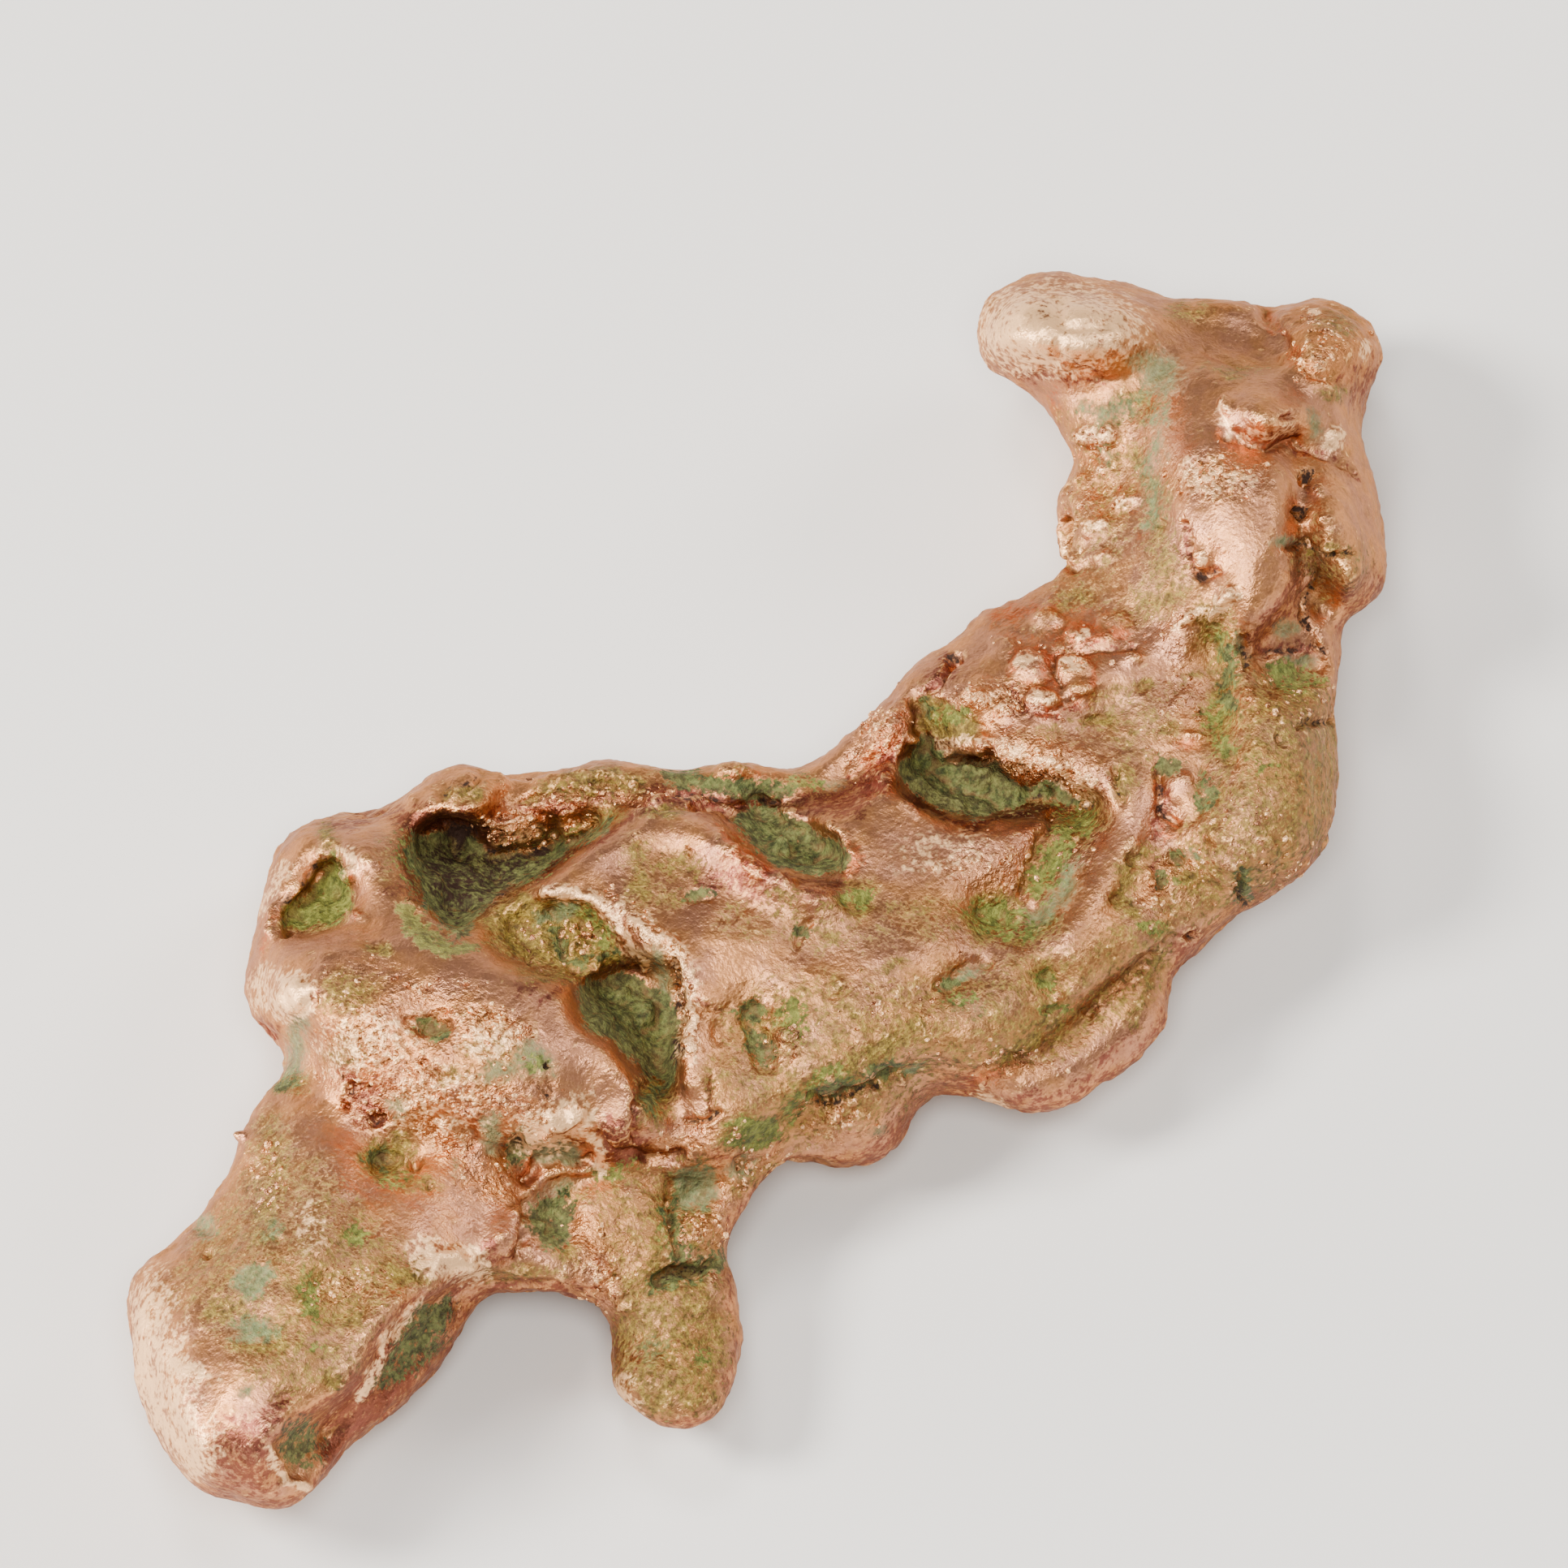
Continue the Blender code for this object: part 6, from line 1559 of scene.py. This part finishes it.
        # Burnish mark: rubbed metal and painted highlight, mixed in peach below.
        burnish_highlight = graph.times(masks[Tint.BURNISH_HIGHLIGHT], 0.88)
        bright = graph.most(glint_highlight, burnish_highlight)
        worn = graph.times(parts[Part.EDGE], 0.5)
        coarse = graph.most(parts[Part.GLITTER], graph.times(film, 0.7), graph.times(green, 0.5), worn)
        color = self.stain_and_shade(graph, parts, masks, self.metal(graph, parts, masks))
        color = self.shade(graph, parts, masks, color, coarse)
        # Painted glints and edge highlights, in gold.
        color = graph.mix(glint_highlight, color, self.gold)
        color = graph.mix(burnish_highlight, color, self.peach)
        crust = graph.times(graph.most(graph.times(film, 0.7), green), graph.math("SUBTRACT", 1.0, bright))
        sheen = graph.mix_value(bright, graph.line(parts[Part.PATCH], 0.08, 0.44), 0.40)
        shader = graph.node("ShaderNodeBsdfPrincipled", {
            "Base Color": color,
            "Metallic": graph.mix_value(crust, graph.line(burnish_highlight, -0.40, 1.0), 0.0),
            "Roughness": graph.mix_value(crust, sheen, 0.80),
            "Specular Tint": self.rim,
            "Normal": self.relief(graph, parts, coarse, burnish_highlight),
        })
        graph.node("ShaderNodeOutputMaterial", {"Surface": shader.outputs["BSDF"]})
        return made

    def parts(self, graph: Graph) -> Parts:
        """Makes the fine patterns and small irregular flakes, and reads the mesh's own marks.

        Args:
            graph: The finish's graph.

        Returns:
            Every part but the glitter.
        """
        place = graph.place_in_mm()
        parts = {part: graph.noise(place, *measures) for part, measures in self.noises.items()}
        parts[Part.MIXED] = graph.weigh(parts, self.mixed)
        push = graph.times(parts[Part.CRUMB], 0.12)
        pushed = graph.node("ShaderNodeVectorMath", {0: place, 1: push}, operation="ADD")
        given = {"Vector": pushed.outputs[0], "Scale": self.flake_scale}
        cells = graph.node("ShaderNodeTexVoronoi", given, feature="F1")
        tones = graph.node("ShaderNodeSeparateColor", {0: cells.outputs["Color"]})
        parts[Part.FLAKE] = cells.outputs["Distance"]
        parts[Part.TONE] = tones.outputs[0]
        parts[Part.SECOND] = tones.outputs[1]
        for part in (Part.EDGE, Part.HOLLOW, Part.HALO):
            parts[part] = graph.attribute(part.value)
        return parts

    def mask(self, graph: Graph, settled: bpy.types.ShaderNodeTree, tint: Tint, parts: Parts) -> Socket:
        """Places the group for one tint, with that tint's habit.

        Args:
            graph: The finish's graph.
            settled: The group that breaks marks up.
            tint: The tint.
            parts: The finish's parts.

        Returns:
            The tint's mask, from 0 to 1.
        """
        habit = self.habits[tint]
        given = {
            "Cover": graph.attribute(tint.value), "Tear": parts[Part.TEAR], "Speckle": parts[Part.SPECKLE],
            "Relief": parts[Part.CRUMB], "Raggedness": habit.torn, "Graininess": habit.speckled,
            "Settling": habit.settled, "Softness": habit.soft,
        }
        return graph.node("ShaderNodeGroup", given, node_tree=settled).outputs["Mask"]

    def metal(self, graph: Graph, parts: Parts, masks: Masks) -> Socket:
        """Colours the bare metal and the thin khaki veil on it.

        Args:
            graph: The finish's graph.
            parts: The finish's parts.
            masks: The tints' masks.

        Returns:
            The colour.
        """
        color = graph.mix(graph.ease(parts[Part.BROAD], -0.5, 0.5), self.tan, self.mauve)
        color = graph.mix(graph.times(masks[Tint.MAUVE], 0.8), color, self.mauve)
        color = graph.mix(graph.times(masks[Tint.AMBER], 0.55), color, self.amber)
        color = graph.mix(graph.times(masks[Tint.RUST], 0.75), color, self.rust)
        olive = graph.ease(graph.attribute(Tint.OLIVE.value), 0.0, 0.9, 0.66)
        halo = graph.times(parts[Part.HALO], 0.45)
        veil = graph.most(graph.sum(graph.most(olive, halo), graph.weigh(parts, self.veil)), 0.0)
        return graph.mix(graph.math("MINIMUM", veil, 0.8), color, self.khaki)

    def stain_and_shade(self, graph: Graph, parts: Parts, masks: Masks, color: Socket) -> Socket:
        """Lays the dark gaps, the wine oxide with its painted shade, and the green patinas over the metal.

        Args:
            graph: The finish's graph.
            parts: The finish's parts.
            masks: The tints' masks.
            color: The metal's colour.

        Returns:
            The colour.
        """
        gaps = graph.times(masks[Tint.GLITTER], graph.ease(graph.weigh(parts, self.gaps), 0.50, 1.15), 0.62)
        color = graph.mix(gaps, color, self.umber)
        color = graph.mix(graph.times(masks[Tint.WINE_AND_SHADE], 0.82), color, self.wine)
        olive = graph.mix(graph.ease(parts[Part.MIXED], -0.5, 0.6), self.olive.dark, self.olive.light)
        color = graph.mix(graph.times(masks[Tint.OLIVE], self.olive.hiding), color, olive)
        for tint, patina in self.patinas.items():
            tone = graph.mix(graph.ease(parts[Part.FIBRE], -0.55, 0.55), patina.dark, patina.light)
            color = graph.mix(graph.times(masks[tint], patina.hiding), color, tone)
        return color

    def shade(self, graph: Graph, parts: Parts, masks: Masks, color: Socket, coarse: Socket) -> Socket:
        """Lets the grain lighten and darken the colour, and paints shade into hollows and cracks.

        Args:
            graph: The finish's graph.
            parts: The finish's parts.
            masks: The tints' masks.
            color: The colour so far.
            coarse: How coarse the surface is, from 0 to 1.

        Returns:
            The colour.
        """
        smooth = graph.times(masks[Tint.MAUVE], 0.3)
        calm = graph.math("SUBTRACT", graph.line(parts[Part.PATCH], 0.30, 0.44), smooth)
        strength = graph.line(coarse, 0.7, graph.most(calm, 0.15))
        swing = graph.sum(graph.times(parts[Part.MIXED], strength), 1.0)
        color = graph.mix(1.0, color, graph.gray(graph.most(swing, 0.3)), "MULTIPLY")
        # Painted shade: umber in the mesh's hollows.
        color = graph.mix(graph.times(graph.ease(parts[Part.HOLLOW], 0.35, 1.0), 0.34), color, self.umber)
        return graph.mix(masks[Tint.GRIME_AND_SHADE], color, self.grime_shade)

    def glints_and_rub(self, graph: Graph, parts: Parts) -> Socket:
        """Painted glints where grains of metal spark, and edges painted bright, partly rubbed metal and partly
        painted highlight.
        """
        sparks = graph.times(graph.ease(graph.weigh(parts, self.sparks), 0.60, 0.96), 0.90)
        return graph.most(sparks, graph.times(graph.ease(graph.weigh(parts, self.rub_highlight), 0.34, 0.84), 0.65))

    @staticmethod
    def bare(graph: Graph, masks: Masks, green: Socket) -> Socket:
        """Where the metal is free of thick patina and of the near-black painted shade in cracks."""
        covered = graph.most(masks[Tint.DEEP], masks[Tint.GRIME_AND_SHADE], graph.times(green, 0.6))
        return graph.math("SUBTRACT", 1.0, covered)

    def relief(self, graph: Graph, parts: Parts, coarse: Socket, burnish_highlight: Socket) -> Socket:
        """Makes the fine relief that is too small for the mesh.

        Args:
            graph: The finish's graph.
            parts: The finish's parts.
            coarse: How coarse the surface is, from 0 to 1.
            burnish_highlight: How strongly the burnish and its painted highlight lie, from 0 to 1.

        Returns:
            The bent normal.
        """
        height = graph.times(graph.weigh(parts, self.bumps), graph.line(coarse, 1.1, 0.36))
        height = graph.times(height, graph.line(burnish_highlight, -0.20, 1.0))
        flakes = graph.times(parts[Part.FLAKE], parts[Part.GLITTER], 0.4)
        height = graph.math("SUBTRACT", height, flakes)
        given = {"Strength": 0.9, "Distance": self.bump_mm * MM, "Height": height}
        return graph.node("ShaderNodeBump", given).outputs["Normal"]


@dataclass(frozen=True)
class Lamp:
    """A round lamp that points at the nugget.

    Its way runs from the nugget along the sheet's right, up and outward axes, and its reach and width are in
    metres.
    """

    name: str
    way: tuple[float, float, float]
    reach: float
    width: float
    watts: float
    tone: tuple[float, float, float]

    def hang(self, sheet: Sheet) -> None:
        """Hangs the lamp.

        Args:
            sheet: The sheet whose axes its way is given in.
        """
        direction = (sheet.turned() @ Vector(self.way)).normalized()
        light = bpy.data.lights.new(self.name, "AREA")
        light.shape = "DISK"
        light.size = self.width
        light.energy = self.watts
        light.color = self.tone
        lamp = bpy.data.objects.new(self.name, light)
        lamp.location = direction * self.reach
        lamp.rotation_euler = direction.to_track_quat("Z", "Y").to_euler()
        bpy.context.scene.collection.objects.link(lamp)


@dataclass
class Studio:
    """The pale floor, the soft lights, the pale surround and the camera."""

    sheet: Sheet
    floor_side: float = 6.0
    floor_tone: Colour = (0.78, 0.775, 0.765, 1.0)
    floor_roughness: float = 0.85
    air_tone: Colour = (1.0, 0.985, 0.96, 1.0)
    air_strength: float = 0.25
    sight: float = 10.0

    lamps: ClassVar[tuple[Lamp, ...]] = (
        Lamp("key", (-0.62, 0.25, 0.78), 0.42, 0.12, 2.6, (1.0, 0.94, 0.86)),
        Lamp("left", (-0.97, -0.10, 0.14), 0.45, 0.14, 3.6, (1.0, 0.94, 0.88)),
        Lamp("top", (-0.15, 0.62, 0.78), 0.50, 0.12, 0.9, (1.0, 0.95, 0.90)),
        Lamp("right", (0.70, 0.60, 0.45), 0.50, 0.20, 1.2, (1.0, 0.96, 0.92)),
        Lamp("front", (0.00, 0.04, 1.00), 0.60, 0.20, 3.3, (1.0, 0.96, 0.91)),
    )

    def build(self) -> None:
        """Sets everything up round the nugget."""
        self.floor()
        self.air()
        for lamp in self.lamps:
            lamp.hang(self.sheet)
        self.camera()

    def floor(self) -> None:
        """A wide plain floor just under the nugget."""
        bpy.ops.object.select_all(action="DESELECT")
        bpy.ops.mesh.primitive_plane_add(size=self.floor_side, location=(0.0, 0.0, 0.0))
        plane = bpy.context.view_layer.objects.active
        plane.name = "floor"
        made = bpy.data.materials.new("pale_floor")
        made.use_nodes = True
        shader = made.node_tree.nodes["Principled BSDF"]
        shader.inputs["Base Color"].default_value = self.floor_tone
        shader.inputs["Roughness"].default_value = self.floor_roughness
        plane.data.materials.append(made)

    def air(self) -> None:
        """An even pale surround."""
        world = bpy.data.worlds.new("pale_air")
        world.use_nodes = True
        background = world.node_tree.nodes["Background"]
        background.inputs["Color"].default_value = self.air_tone
        background.inputs["Strength"].default_value = self.air_strength
        bpy.context.scene.world = world

    def camera(self) -> None:
        """Puts the camera where the sheet is square on."""
        data = bpy.data.cameras.new("camera")
        data.lens = self.sheet.lens_mm
        data.sensor_width = self.sheet.sensor_mm
        data.clip_end = self.sight
        camera = bpy.data.objects.new("camera", data)
        camera.location = self.sheet.eye()
        camera.rotation_euler = self.sheet.turned().to_euler()
        bpy.context.scene.collection.objects.link(camera)
        bpy.context.scene.camera = camera


def main() -> None:
    """Builds the nugget's skin, dresses it, and sets up the studio."""
    logging.basicConfig(level=logging.INFO, format="%(name)s: %(message)s")
    sheet = Sheet()
    skin = NuggetSkin(sheet).build()
    skin.data.materials.clear()
    crumbs = CopperCrumbs().build(skin, sheet)
    finish = WornCopper().material(settled_mark_group())
    for piece in (skin, crumbs):
        piece.data.materials.append(finish)
        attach(piece, BODY)
        LOG.info("%s: %d corners, %d faces", piece.name, len(piece.data.vertices), len(piece.data.polygons))
    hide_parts(NODE)
    Studio(sheet).build()
    LOG.info("studio: floor, lamps and camera")


if __name__ == "__main__":
    main()
